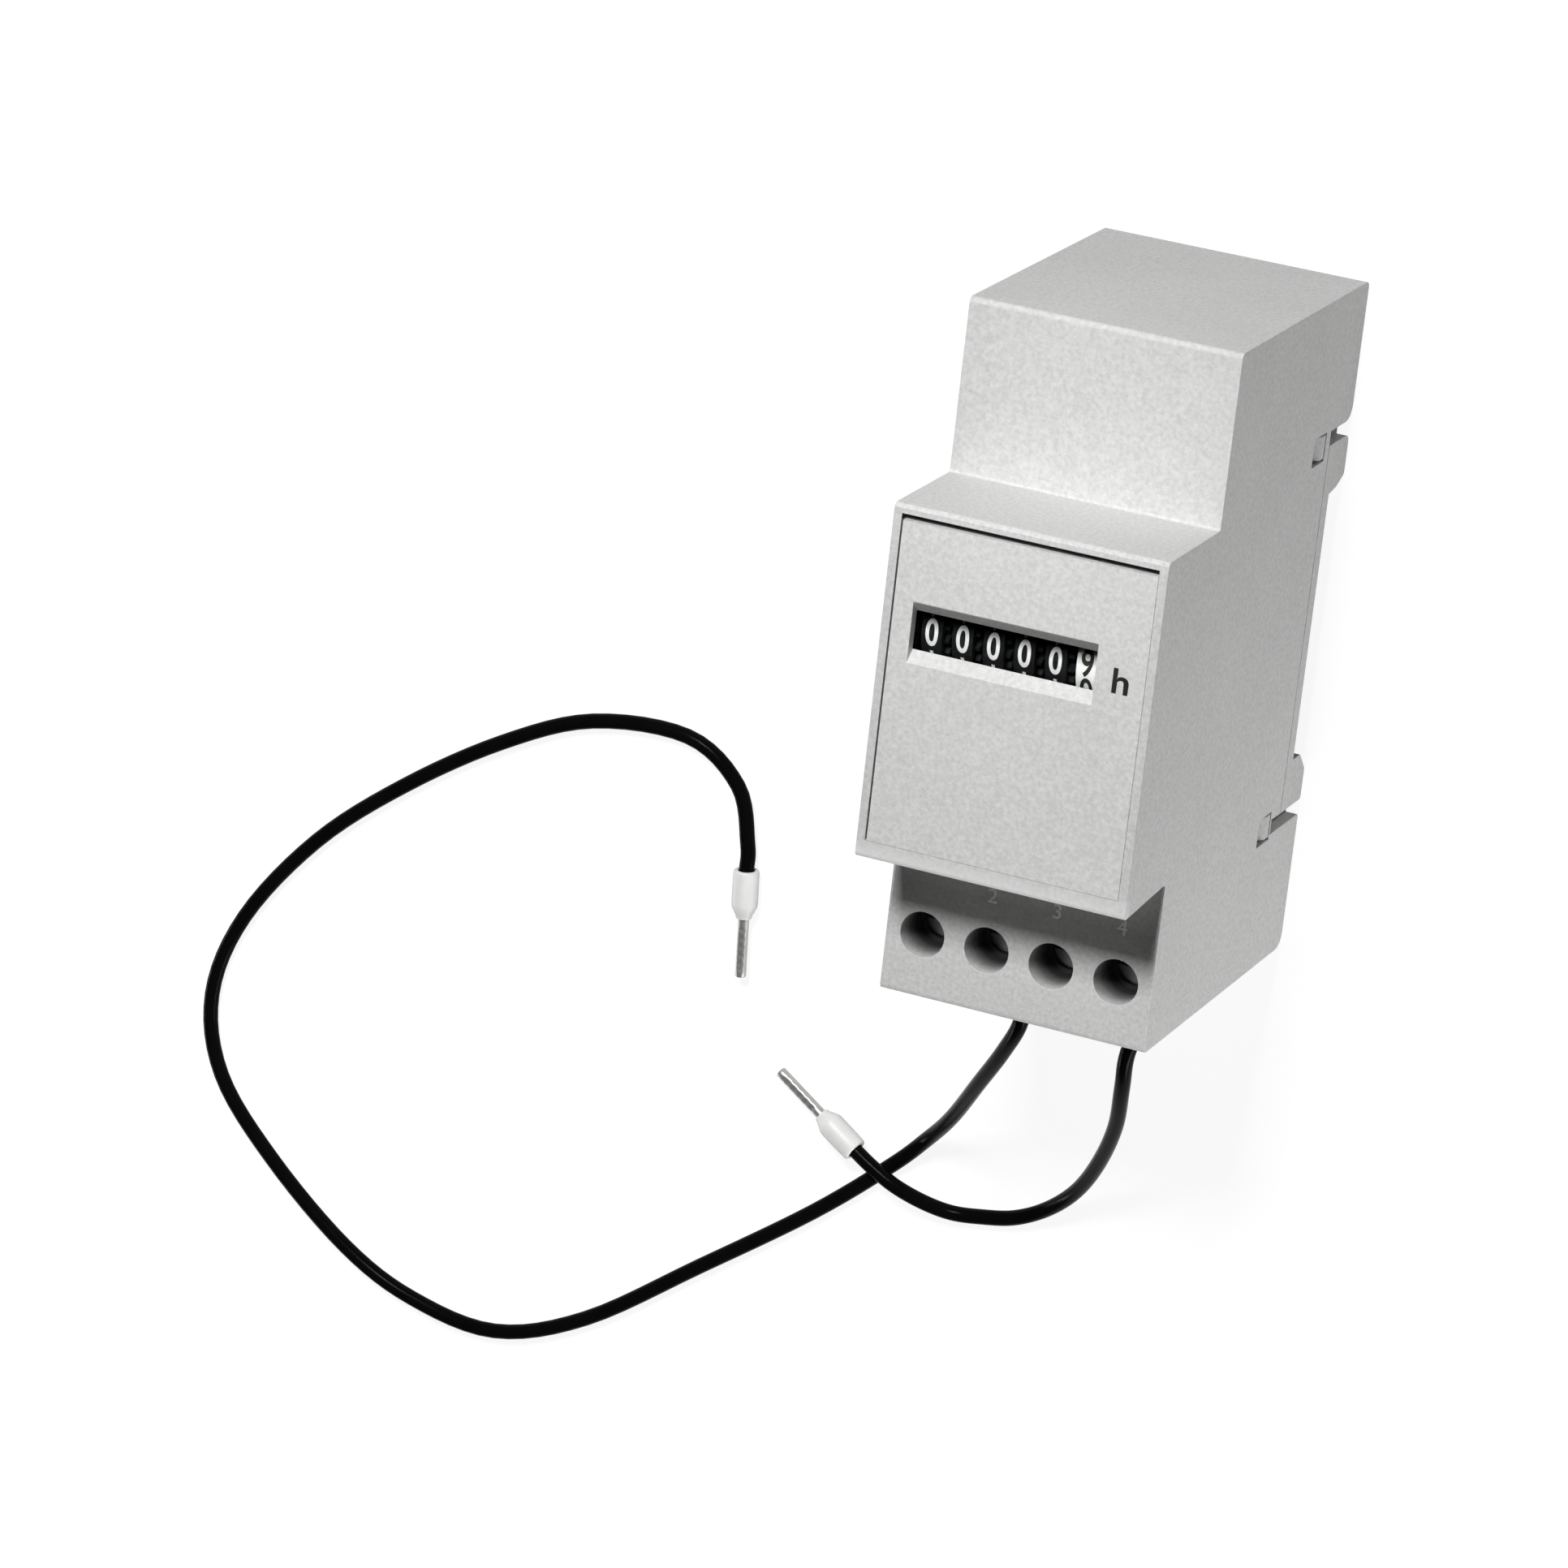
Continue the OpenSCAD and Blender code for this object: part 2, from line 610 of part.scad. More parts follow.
module base_plate() color(grey_plastic) {
    difference() {
        union() {
            along_x(-inner_x + fit_gap, inner_x - fit_gap) base_outline();
            along_x(-side_x, side_x) flush_outline();
            hooks();
            for (at = pillars) {
                pillar(at);
            }
            // Ribs under the terminal block
            for (k = [1:terminals - 1]) {
                translate([(terminal_x(k) + terminal_x(k + 1)) / 2 - 0.8, block_y0, base_top - 1])
                    cube([1.6, block_y1 - block_y0, block_z0 - base_top + 1]);
            }
            for (side = [-1, 1], at = [upper_snap, lower_snap]) snap_arm(side, at);
        }
        latch_channel();
        // Cored pockets beside the latch
        for (side = [-1, 1]) {
            translate([side * (inner_x + latch_w / 2 + wing_w) / 2 - 3.2, block_y0 + 2, -1])
                cube([6.4, lower_seat - block_y0 - 7, base_top - floor_t + 1]);
        }
        for (at = pillars) {
            translate([at[0], at[1], board_z - board_screw_l - 1]) cylinder(d = board_screw_d, h = board_screw_l + 2);
        }
    }
    // Post that the latch spring pushes against
    translate([-spring_slot_w / 2 + 0.3, spring_y0 - post_l, latch_z0 + 0.3])
        cube([spring_slot_w - 0.6, post_l, base_top - latch_z0 - 1]);
}

module rail_latch() color(grey_plastic) difference() {
    union() {
        along_x(-latch_w / 2, latch_w / 2)
            polygon([
                [latch_end, latch_z0], [lower_seat - 1.5, latch_z0], [latch_nose, hook_top - 1.2],
                [latch_nose, hook_top], [latch_end, hook_top]
            ]);
        translate([-latch_w / 2 - wing_w, wing_y0, hook_top - wing_t])
            cube([latch_w + 2 * wing_w, wing_y1 - wing_y0, wing_t]);
    }
    // Slot for the spring and its post
    translate([-spring_slot_w / 2, stop_y, latch_z0 - 1])
        cube([spring_slot_w, post_l + spring_l, latch_t + 2]);
    // Slot for a screwdriver tip
    translate([-2.5, latch_end + 1, latch_z0 - 1]) cube([5, 1.6, latch_t + 2]);
}

// Closed tube along rings of [point, radius]
module tube(rings, sides) {
    n = len(rings);
    corners = [
        for (i = [0:n - 1])
        let(
            ahead = unit(rings[min(i + 1, n - 1)][0] - rings[max(i - 1, 0)][0]),
            level = unit(cross(ahead, [0, 0, 1])),
            up = cross(level, ahead)
        )
        for (j = [0:sides - 1])
        rings[i][0] + rings[i][1] * (level * cos(360 * j / sides) + up * sin(360 * j / sides))
    ];
    skin = [
        for (i = [0:n - 2], j = [0:sides - 1])
        let(k = (j + 1) % sides)
        each [
            [i * sides + j, i * sides + k, (i + 1) * sides + k],
            [i * sides + j, (i + 1) * sides + k, (i + 1) * sides + j]
        ]
    ];
    polyhedron(
        points = corners,
        faces = concat(
            skin,
            [[for (j = [sides - 1:-1:0]) j]],
            [[for (j = [0:sides - 1]) (n - 1) * sides + j]]
        )
    );
}

module latch_spring() {
    turns = 9;
    steps = 12;
    r = (spring_d - spring_wire) / 2;
    run_l = spring_l - spring_wire - 0.04;
    color(steel) tube([
        for (i = [0:turns * steps])
        let(a = 360 * i / steps, y = spring_y0 + spring_wire / 2 + 0.02 + run_l * i / (turns * steps))
        [[r * cos(a), y, spring_z + r * sin(a)], spring_wire / 2]
    ], 6);
}

module front_plate() color(grey_plastic) {
    x0 = window_x - window_w / 2;
    difference() {
        translate([-plate_w / 2, plate_y0, plate_z0]) cube([plate_w, plate_h, plate_t]);
        along_x(x0, x0 + window_w)
            polygon([
                [window_y - window_h / 2, plate_z0 - 1], [window_y + window_h / 2, plate_z0 - 1],
                [window_y + window_h / 2, plate_z0 + 0.2],
                [window_y + window_h / 2 + bevel_w, nose_z], [window_y + window_h / 2 + bevel_w, nose_z + 1],
                [window_y - window_h / 2 - bevel_w, nose_z + 1], [window_y - window_h / 2 - bevel_w, nose_z],
                [window_y - window_h / 2, plate_z0 + 0.2]
            ]);
    }
}

module window_lens() color([0.85, 0.9, 0.92, 0.3]) {
    translate([window_x - window_w / 2 - lens_lap, window_y - window_h / 2 - lens_lap, pane_z0])
        cube([window_w + 2 * lens_lap, window_h + 2 * lens_lap, lens_t]);
}

// One number wheel: rim, web and hub, the ring teeth on its right and the locking disc on its left
module number_wheel(k) {
    x = wheel_x(k);
    units = k == 1;
    highest = k == wheels;
    bore = units ? shaft_r : shaft_r + run;
    left = highest ? end_boss : gap_w - ring_w - axial_play;
    right = units ? end_boss : ring_w;
    color(units ? white_plastic : black_plastic) translate([x, wheel_y, wheel_z]) rotate([90, 0, 90]) {
        rotate_extrude() polygon([
            [bore, -rim_w / 2 - left], [hub_d / 2, -rim_w / 2 - left], [hub_d / 2, -web_t / 2],
            [wheel_r - rim_t, -web_t / 2], [wheel_r - rim_t, -rim_w / 2], [wheel_r, -rim_w / 2],
            [wheel_r, rim_w / 2], [wheel_r - rim_t, rim_w / 2], [wheel_r - rim_t, web_t / 2],
            [hub_d / 2, web_t / 2], [hub_d / 2, rim_w / 2 + right], [bore, rim_w / 2 + right]
        ]);
        if (!units) {
            linear_extrude(rim_w / 2 + ring_w) difference() {
                rotate(carry_angle) polygon(gear(carry_m, ring_teeth, carry_slack, 0.8, 1.2));
                circle(r = bore);
            }
        }
        if (!highest) {
            translate([0, 0, -rim_w / 2 - disc_w]) linear_extrude(rim_w / 2 + disc_w) difference() {
                circle(r = disc_r);
                circle(r = bore);
                // Carry gap with its tooth between
                for (side = [-1, 1]) {
                    rotate(carry_angle + 18 + side * 10) translate([disc_r - 0.9, -0.35]) square([1.5, 0.7]);
                }
            }
        }
    }
}

module wheel_shaft() color(steel) {
    bar_x(left_cheek_x - cheek_t - 0.2, train_x0 + gear_w + 0.1, wheel_y, wheel_z, shaft_r);
}

// Gear along X with a round bore
module gear_x(x0, x1, y, z, turn, bore_r, m, teeth, slack, tip = 1, root = 1.25) {
    translate([x0, y, z]) rotate([90, 0, 90]) linear_extrude(x1 - x0) difference() {
        rotate(turn) polygon(gear(m, teeth, slack, tip, root));
        circle(r = bore_r);
    }
}

module drive_gear() color(brass) {
    gear_x(train_x0, train_x0 + gear_w, wheel_y, wheel_z, idler_angle, shaft_r, drive_m, gear_teeth, drive_slack);
}

// The small teeth of the idler mesh with the drive gear, the large ones with the motor pinion
module idler_gear() color(white_plastic) {
    small_turn = idler_angle + 180 + 180 / small_teeth;
    gear_x(train_x0, train_x1, idler_y, idler_z, small_turn, stud_d / 2 + run, drive_m, small_teeth, drive_slack);
    gear_x(train_x1, train_x2, idler_y, idler_z, motor_angle, stud_d / 2 + run, drive_m, gear_teeth, drive_slack);
}

module idler_stud() color(steel) {
    bar_x(right_cheek_x, train_x2 + 0.1, idler_y, idler_z, stud_d / 2);
    bar_x(train_x2 + 0.1, train_x2 + 0.6, idler_y, idler_z, stud_d / 2 + 0.6);
}

module pinion_shaft() color(steel) {
    bar_x(left_cheek_x - cheek_t, right_cheek_x + cheek_t, carry_y, carry_z, pinion_shaft_d / 2);
}

// Carry pinion k lies in the gap between wheels k and k + 1
module transfer_pinion(k) color(white_plastic) {
    middle = (wheel_x(k) + wheel_x(k + 1)) / 2;
    half = gap_w / 2 - 0.1;
    gear_x(
        middle - half, middle + half, carry_y, carry_z, carry_angle + 180 + 180 / carry_teeth,
        pinion_shaft_d / 2 + run, carry_m, carry_teeth, carry_slack
    );
}

module motor_can() color(steel) difference() {
    union() {
        bar_x(right_cheek_x - motor_l, right_cheek_x - 0.8, motor_y, motor_z, motor_d / 2);
        bar_x(right_cheek_x - 0.8, right_cheek_x, motor_y, motor_z, motor_d / 2 - 0.4);
    }
    bar_x(right_cheek_x - motor_l + 1, right_cheek_x + 1, motor_y, motor_z, motor_shaft_d / 2 + run);
    motor_screw_holes(right_cheek_x - motor_screw_l, right_cheek_x + 1);
}

module motor_screw_holes(x0, x1) {
    for (turn = [motor_angle + 90, motor_angle + 270]) {
        bar_x(
            x0, x1, motor_y + motor_screw_pcd / 2 * cos(turn), motor_z + motor_screw_pcd / 2 * sin(turn),
            motor_screw_d / 2
        );
    }
}

module motor_shaft() color(steel) {
    bar_x(right_cheek_x - motor_l + 1.2, train_x2 + 0.3, motor_y, motor_z, motor_shaft_d / 2);
}

module motor_pinion() color(brass) {
    gear_x(
        train_x1 - 0.1, train_x2 + 0.1, motor_y, motor_z, motor_angle + 180 + 180 / small_teeth,
        motor_shaft_d / 2, drive_m, small_teeth, drive_slack
    );
}

module motor_screws() color(steel) {
    outside = right_cheek_x + cheek_t;
    for (turn = [motor_angle + 90, motor_angle + 270]) {
        y = motor_y + motor_screw_pcd / 2 * cos(turn);
        z = motor_z + motor_screw_pcd / 2 * sin(turn);
        difference() {
            union() {
                bar_x(right_cheek_x - motor_screw_l, outside, y, z, motor_screw_d / 2);
                bar_x(outside, outside + 0.9, y, z, motor_screw_d / 2 + 0.7);
            }
            translate([outside + 0.5, y - 0.2, z - 3]) cube([1, 0.4, 6]);
        }
    }
}

module counter_frame() color(black_plastic) {
    difference() {
        union() {
            along_x(right_cheek_x, right_cheek_x + cheek_t)
                polygon(rounded([
                    [frame_y0, board_top, 0], [frame_y1, board_top, 0], [frame_y1, cheek_top, 1.5],
                    [left_y0, cheek_top, 1], [frame_y0, motor_z + motor_d / 2 - 1, 3]
                ]));
            along_x(left_cheek_x - cheek_t, left_cheek_x)
                polygon(rounded([
                    [left_y0, board_top, 0], [frame_y1, board_top, 0], [frame_y1, cheek_top, 1.5],
                    [left_y0, cheek_top, 1.5]
                ]));
            translate([left_cheek_x - cheek_t, left_y0, board_top])
                cube([right_cheek_x - left_cheek_x + 2 * cheek_t, frame_y1 - left_y0, cheek_t]);
            translate([right_cheek_x - foot_w, frame_y0, board_top])
                cube([foot_w + cheek_t, frame_y1 - frame_y0, cheek_t]);
        }
        bar_x(left_cheek_x - cheek_t - 1, right_cheek_x + cheek_t + 1, wheel_y, wheel_z, shaft_r + run);
        bar_x(
            left_cheek_x - cheek_t - 1, right_cheek_x + cheek_t + 1, carry_y, carry_z, pinion_shaft_d / 2
        );
        bar_x(right_cheek_x - 1, right_cheek_x + cheek_t + 1, idler_y, idler_z, stud_d / 2);
        bar_x(right_cheek_x - 1, right_cheek_x + cheek_t + 1, motor_y, motor_z, motor_shaft_d / 2 + 0.8);
        motor_screw_holes(right_cheek_x - 1, right_cheek_x + cheek_t + 1);
    }
    for (at = pegs) translate([at[0], at[1], board_top - peg_l]) cylinder(d = peg_d, h = peg_l + 0.5);
}

module circuit_board() color([0.12, 0.32, 0.16]) difference() {
    translate([-board_x, board_y0, board_z]) cube([2 * board_x, board_y1 - board_y0, board_t]);
    for (at = pegs) translate([at[0], at[1], board_z - 1]) cylinder(d = peg_d, h = board_t + 2);
    for (at = pillars) translate([at[0], at[1], board_z - 1]) cylinder(d = board_screw_d + 0.2, h = board_t + 2);
    for (k = [1:terminals]) {
        translate([terminal_x(k), bar_y1 - 2, board_z - 1]) cylinder(d = bar_w / 2, h = board_t + 2);
    }
}

module board_screws() color(steel) {
    for (at = pillars) {
        difference() {
            union() {
                translate([at[0], at[1], board_z - board_screw_l])
                    cylinder(d = board_screw_d, h = board_screw_l + board_t);
                translate([at[0], at[1], board_top]) cylinder(d = screw_head_d, h = 1.2);
            }
            translate([at[0] - 3, at[1] - 0.25, board_top + 0.6]) cube([6, 0.5, 1]);
        }
    }
}

// Parts that hang from the board's underside
module film_capacitor() color([0.75, 0.60, 0.20]) {
    translate([left_cheek_x + 3.35, 8, board_z - 11]) cube([6, 13, 11]);
}

module electrolytic_capacitor() color([0.10, 0.12, 0.20]) {
    translate([4, 26, board_z - 11.5]) cylinder(d = 8, h = 11.5);
}

module rectifier() color([0.10, 0.10, 0.10]) {
    translate([-10, 26, board_z - 3.2]) cube([8, 6.4, 3.2]);
}

module driver_chip() color([0.10, 0.10, 0.10]) {
    translate([-2, -8, board_z - 3.4]) cube([6.4, 9.6, 3.4]);
}

module crystal() color(tinned) {
    translate([8.5, -12, board_z - 6.5]) cylinder(d = 3, h = 6.5);
}

module resistors() color([0.55, 0.70, 0.72]) {
    for (i = [0:3]) {
        translate([-1 + 3.4 * i, 15, board_z - 1.2]) rotate([-90, 0, 0]) cylinder(d = 2.4, h = 6.5);
    }
}

// Insulating insert with one pocket, wire entry and bar slot for each clamp
module terminal_block() color(grey_plastic) difference() {
    pocket_w = cage_w + 2 * pocket_play;
    translate([-inner_x + fit_gap, block_y0, block_z0])
        cube([2 * inner_x - 2 * fit_gap, block_y1 - block_y0, block_z1 - block_z0]);
    for (k = [1:terminals]) {
        x = terminal_x(k);
        outer = k == 1 || k == terminals;
        toward = k == 1 ? -1 : 0;
        translate([x - pocket_w / 2 + toward, pocket_y0, cage_z0 - cage_travel - 0.3])
            cube([pocket_w + (outer ? 1 : 0), pocket_l, block_z1]);
        translate([x, pocket_y0 + 1, entry_z]) rotate([90, 0, 0]) cylinder(d = entry_d, h = 6);
        translate([x - bar_w / 2, bar_y0, bar_z0]) cube([bar_w, block_y1 - bar_y0 + 1, bar_t]);
    }
}

module contact_bar(k) color(tinned) {
    translate([terminal_x(k) - bar_w / 2, bar_y0, bar_z0]) cube([bar_w, bar_y1 - bar_y0, bar_t]);
    translate([terminal_x(k), bar_y1 - 2, board_z - 0.2]) cylinder(d = bar_w / 2, h = board_t + 0.7);
}

// Rising cage: a closed loop round the contact bar, drawn up by the screw
module clamp_cage(k) color(tinned) difference() {
    translate([terminal_x(k) - cage_w / 2, screw_y - cage_l / 2, cage_z0])
        cube([cage_w, cage_l, cage_z1 - cage_z0]);
    translate([terminal_x(k) - cage_w / 2 + cage_t, screw_y - cage_l, cage_floor])
        cube([cage_w - 2 * cage_t, 2 * cage_l, cage_room]);
    translate([terminal_x(k), screw_y, cage_z1 - cage_top - 1]) cylinder(d = thread_d + 2 * run, h = cage_top + 2);
}

module terminal_screw(k) color(steel) translate([terminal_x(k), screw_y, 0]) difference() {
    union() {
        translate([0, 0, board_z + 0.05]) cylinder(d = thread_d, h = head_z0 - board_z);
        translate([0, 0, head_z0]) cylinder(d = head_d, h = head_t);
    }
    translate([-head_d, -slot_w / 2, head_z0 + head_t - slot_depth]) cube([2 * head_d, slot_w, slot_depth + 1]);
}

// Smooth curve through the points of a route
function blend(a, b, c, d, t) =
    0.5 * (2 * b + (c - a) * t + (2 * a - 5 * b + 4 * c - d) * t * t + (3 * b - a - 3 * c + d) * t * t * t);
function smooth(p, steps) =
    let(n = len(p))
    [
        for (i = [0:n - 2], j = [0:steps - 1])
        above(blend(p[max(i - 1, 0)], p[i], p[i + 1], p[min(i + 2, n - 1)], j / steps)),
        p[n - 1]
    ];
function above(p) = [p[0], p[1], max(p[2], wire_r + 0.02)];

// Insulated lead: stripped strands in the clamp, the cord, and strands in the ferrule
module lead(route, ferrule, k, steps) color(black_plastic) {
    clamp = [0, screw_inset + 2.4, clamp_z];
    mouth = [0, route[0][1] + 0.05, clamp_z];
    last = route[len(route) - 1];
    ahead = pointing(ferrule);
    translate(entry(k)) tube(concat(
        [[clamp, strand_d / 2], [mouth, strand_d / 2]],
        [for (p = smooth(route, steps)) [p, wire_r]],
        [
            [last + 0.05 * ahead, core_r],
            [ferrule[0] + (collar_l + sleeve_l - 0.2) * ahead, core_r]
        ]
    ), 8);
}
function pointing(ferrule) = [
    cos(ferrule[2]) * cos(ferrule[1]), cos(ferrule[2]) * sin(ferrule[1]), -sin(ferrule[2])
];

module at_ferrule(ferrule, k) {
    translate(entry(k) + ferrule[0]) rotate([0, 90 + ferrule[2], ferrule[1]]) children();
}

// Collar: a tube that grips the insulation and narrows to the sleeve
module ferrule_collar(ferrule, k) color(white_plastic) at_ferrule(ferrule, k) {
    bore = wire_r - 0.04;
    rotate_extrude() polygon([
        [bore, 0], [collar_d / 2, 0], [collar_d / 2, collar_l * 0.62], [sleeve_d / 2 + 0.45, collar_l],
        [sleeve_d / 2, collar_l], [sleeve_d / 2, wire_depth + 0.2], [bore, wire_depth + 0.2]
    ]);
}

module ferrule_sleeve(ferrule, k) color(tinned) at_ferrule(ferrule, k) {
    rotate_extrude() polygon([
        [core_r, wire_depth + 0.3], [sleeve_d / 2, wire_depth + 0.3],
        [sleeve_d / 2, collar_l + sleeve_l], [core_r, collar_l + sleeve_l]
    ]);
}

housing_cover();
base_plate();
front_plate();
window_lens();
counter_frame();
wheel_shaft();
drive_gear();
number_wheel(1);  // number_wheel_1
number_wheel(2);  // number_wheel_2
number_wheel(3);  // number_wheel_3
number_wheel(4);  // number_wheel_4
number_wheel(5);  // number_wheel_5
number_wheel(6);  // number_wheel_6
pinion_shaft();
transfer_pinion(1);  // transfer_pinion_1
transfer_pinion(2);  // transfer_pinion_2
transfer_pinion(3);  // transfer_pinion_3
transfer_pinion(4);  // transfer_pinion_4
transfer_pinion(5);  // transfer_pinion_5
idler_stud();
idler_gear();
motor_can();
motor_shaft();
motor_pinion();
motor_screws();
circuit_board();
board_screws();
film_capacitor();
electrolytic_capacitor();
rectifier();
driver_chip();
crystal();
resistors();
terminal_block();
contact_bar(1);  // contact_bar_1
contact_bar(2);  // contact_bar_2
contact_bar(3);  // contact_bar_3
contact_bar(4);  // contact_bar_4
clamp_cage(1);  // clamp_cage_1
clamp_cage(2);  // clamp_cage_2
clamp_cage(3);  // clamp_cage_3
clamp_cage(4);  // clamp_cage_4
terminal_screw(1);  // terminal_screw_1
terminal_screw(2);  // terminal_screw_2
terminal_screw(3);  // terminal_screw_3
terminal_screw(4);  // terminal_screw_4
rail_latch();
latch_spring();
lead(route_1, ferrule_1, 2, 3);  // lead_1
lead(route_2, ferrule_2, 4, 3);  // lead_2
ferrule_collar(ferrule_1, 2);  // ferrule_collar_1
ferrule_collar(ferrule_2, 4);  // ferrule_collar_2
ferrule_sleeve(ferrule_1, 2);  // ferrule_sleeve_1
ferrule_sleeve(ferrule_2, 4);  // ferrule_sleeve_2
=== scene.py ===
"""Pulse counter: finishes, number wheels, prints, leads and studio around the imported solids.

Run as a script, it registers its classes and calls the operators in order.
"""
import math

import bmesh
import bpy
from mathutils import Euler, Matrix, Vector


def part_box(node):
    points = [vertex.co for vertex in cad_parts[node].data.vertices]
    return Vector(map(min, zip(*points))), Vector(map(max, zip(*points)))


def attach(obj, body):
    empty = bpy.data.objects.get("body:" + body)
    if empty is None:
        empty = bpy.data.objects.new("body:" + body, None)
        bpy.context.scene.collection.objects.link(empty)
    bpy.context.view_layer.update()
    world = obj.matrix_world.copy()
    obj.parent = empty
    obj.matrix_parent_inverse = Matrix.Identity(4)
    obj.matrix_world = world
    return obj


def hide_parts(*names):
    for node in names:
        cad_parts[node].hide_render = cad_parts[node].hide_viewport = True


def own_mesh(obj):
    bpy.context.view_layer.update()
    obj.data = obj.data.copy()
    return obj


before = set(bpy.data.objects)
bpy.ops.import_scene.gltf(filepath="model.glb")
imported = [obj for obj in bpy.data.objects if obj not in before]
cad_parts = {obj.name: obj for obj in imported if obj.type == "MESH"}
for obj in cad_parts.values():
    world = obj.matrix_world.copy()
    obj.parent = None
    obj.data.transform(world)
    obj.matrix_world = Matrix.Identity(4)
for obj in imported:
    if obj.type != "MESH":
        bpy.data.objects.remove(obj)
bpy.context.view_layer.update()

bl_info = {
    "name": "Pulse counter",
    "version": (1, 0, 0),
    "blender": (4, 5, 0),
    "location": "3D View > Sidebar > Counter",
    "description": "Dresses the solids of a rail-mounted pulse counter",
    "category": "Object",
}

MM = 0.001
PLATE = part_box("front_plate")
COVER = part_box("housing_cover")
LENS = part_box("window_lens")
PLATE_FACE = PLATE[1].z
STEP_FACE = 50 * MM

# The lip under the front plate and the gap over it, as the solid has them
LIP = 1.65 * MM
LIP_RADIUS = 1.4 * MM
PLATE_TOP_GAP = 0.6 * MM

# How the copies of the cover and the plate are moved to follow the photograph
LIP_DROP = Vector((0, -0.85, 0)) * MM
GROOVE_DROP = Vector((0, -0.4, 0)) * MM
GROOVE_WIDTH = Vector((0, -0.1, 0)) * MM
PLATE_REST = Vector((0.1, -0.1, 0)) * MM

# Points this near to a plane lie on it, and edges this near to the plate stay sharp
SLACK = 0.02 * MM
GAP_REACH = 0.8 * MM

# Limits for welding, flattening, rounding and smoothing a copy
WELD = 0.002 * MM
FLAT_ANGLE = math.radians(0.5)
SHARP_ANGLE = math.radians(35)
SMOOTH_ANGLE = math.radians(32)
COLLAR_ANGLE = math.radians(50)
SLEEVE_ANGLE = math.radians(40)

# Painted shade in the screw wells, darker with depth
WELL_RADIUS = 3 * MM
WELL_DEPTH = 7 * MM
WELL_MARGIN = 1.2
WELL_STOPS = ((0.0, 0), (0.1, 0.1), (0.45, 0.7), (0.75, 1))
# How dark the painted shade makes the cover, as a share of its colour
PAINTED_SHADE_LEVEL = 0.1

# Painted shade in the groove over the plate: its reach from the plate's upper edge, sides, front
# and back
GROOVE_BELOW = 0.55 * MM
GROOVE_ABOVE = 0.4 * MM
GROOVE_BESIDE = 0.5 * MM
GROOVE_SUNK = 0.15 * MM
GROOVE_DEPTH = 2 * MM

# Painted shadow on the terminal step under the nose: half the step's width, its slack in height
# and its reach from the nose
STEP_HALF_WIDTH = 17.7 * MM
STEP_BAND = 0.1 * MM
STEP_REACH = 12.5 * MM
STEP_STOPS = ((0.0, 0.3), (0.35, 0.3), (0.6, 0.42), (0.8, 0.3), (1.0, 0))

# Painted light on the lip under the plate, paler towards its edge
LIP_LIGHT_COLOUR = (0.93, 0.93, 0.925)
LIP_LIGHT_LEAST = 0.1
LIP_LIGHT_RISE = 0.55

# Glass threads and tracks of the circuit board, per metre
WEAVE_SCALE = 620.0
TRACK_SCALE = 230.0

# Number wheels: their count, the depth that counts as rim, where their line of digits stands
# in the window, and how far the digits of the units wheel lie off it
WHEELS = 6
RIM_DEPTH = 0.05 * MM
DIGIT_LINE = -0.4 * MM
UNITS_OFFSET = -3.2 * MM

# Lettering: the font's size over its capitals' height, a digit's width over its height, and
# how deep a print is sunk
CAP_TO_SIZE = 1 / 0.73
DIGIT_ASPECT = 0.78
PRINT_SUNK = 0.08 * MM
PRINT_MERGE = 0.0005 * MM

# The unit letter and the raised numerals
LETTER_X = 13.7 * MM
LETTER_Y = 6.55 * MM
LETTER_WIDTH = 1.15
NUMERAL_Y = -29.3 * MM
NUMERAL_RISE = 0.1 * MM
# A flat face is a wheel of very large radius
FLAT_RADIUS = 50.0

# The camera that was fitted to the photograph: its lens and sensor in millimetres, its turn
# in degrees and its reach in metres
LENS_LENGTH = 167.7
SENSOR_WIDTH = 36
CAMERA_PLACE = Vector((289.5, 270.0, 861.46)) * MM
CAMERA_TURN = (-15.914, 23.605, 6.557)
VIEW_REACH = 20

# The floor and the lights
FLOOR_REACH = 1.6
FLOOR_CORNERS = ((-1, -1), (1, -1), (1, 1), (-1, 1))
PAPER_GLOW = 0.9
BODY_MIDDLE = Vector((0, 0, 30)) * MM
FOLD = Vector((0, 25, 50)) * MM
# Each light's property, size, target, direction, distance and spread
LIGHTS = (
    ("key", (0.25, 0.25), BODY_MIDDLE, (-0.04, 0.8, 1), 1.1, 180),
    ("right", (0.3, 0.08), BODY_MIDDLE, (1, -1.2, 0.04), 0.35, 180),
    ("left", (0.9, 0.04), BODY_MIDDLE, (-1, -0.5, 0), 1.1, 180),
    ("near", (0.04, 0.04), FOLD, (-0.2, 0.65, 0.8), 0.13, 30),
)


def length(name, description, value):
    """A length property with this name, description and default in metres."""
    return bpy.props.FloatProperty(
        name=name, description=description, default=value, unit="LENGTH", precision=6
    )


def power(name, description, value):
    """A power property with this name, description and default in watts."""
    return bpy.props.FloatProperty(
        name=name, description=description, default=value, unit="POWER", precision=5
    )


def colour(name, description, value):
    """A colour property with this name, description and linear default."""
    return bpy.props.FloatVectorProperty(
        name=name,
        description=description,
        default=value,
        size=3,
        min=0,
        max=1,
        subtype="COLOR",
    )


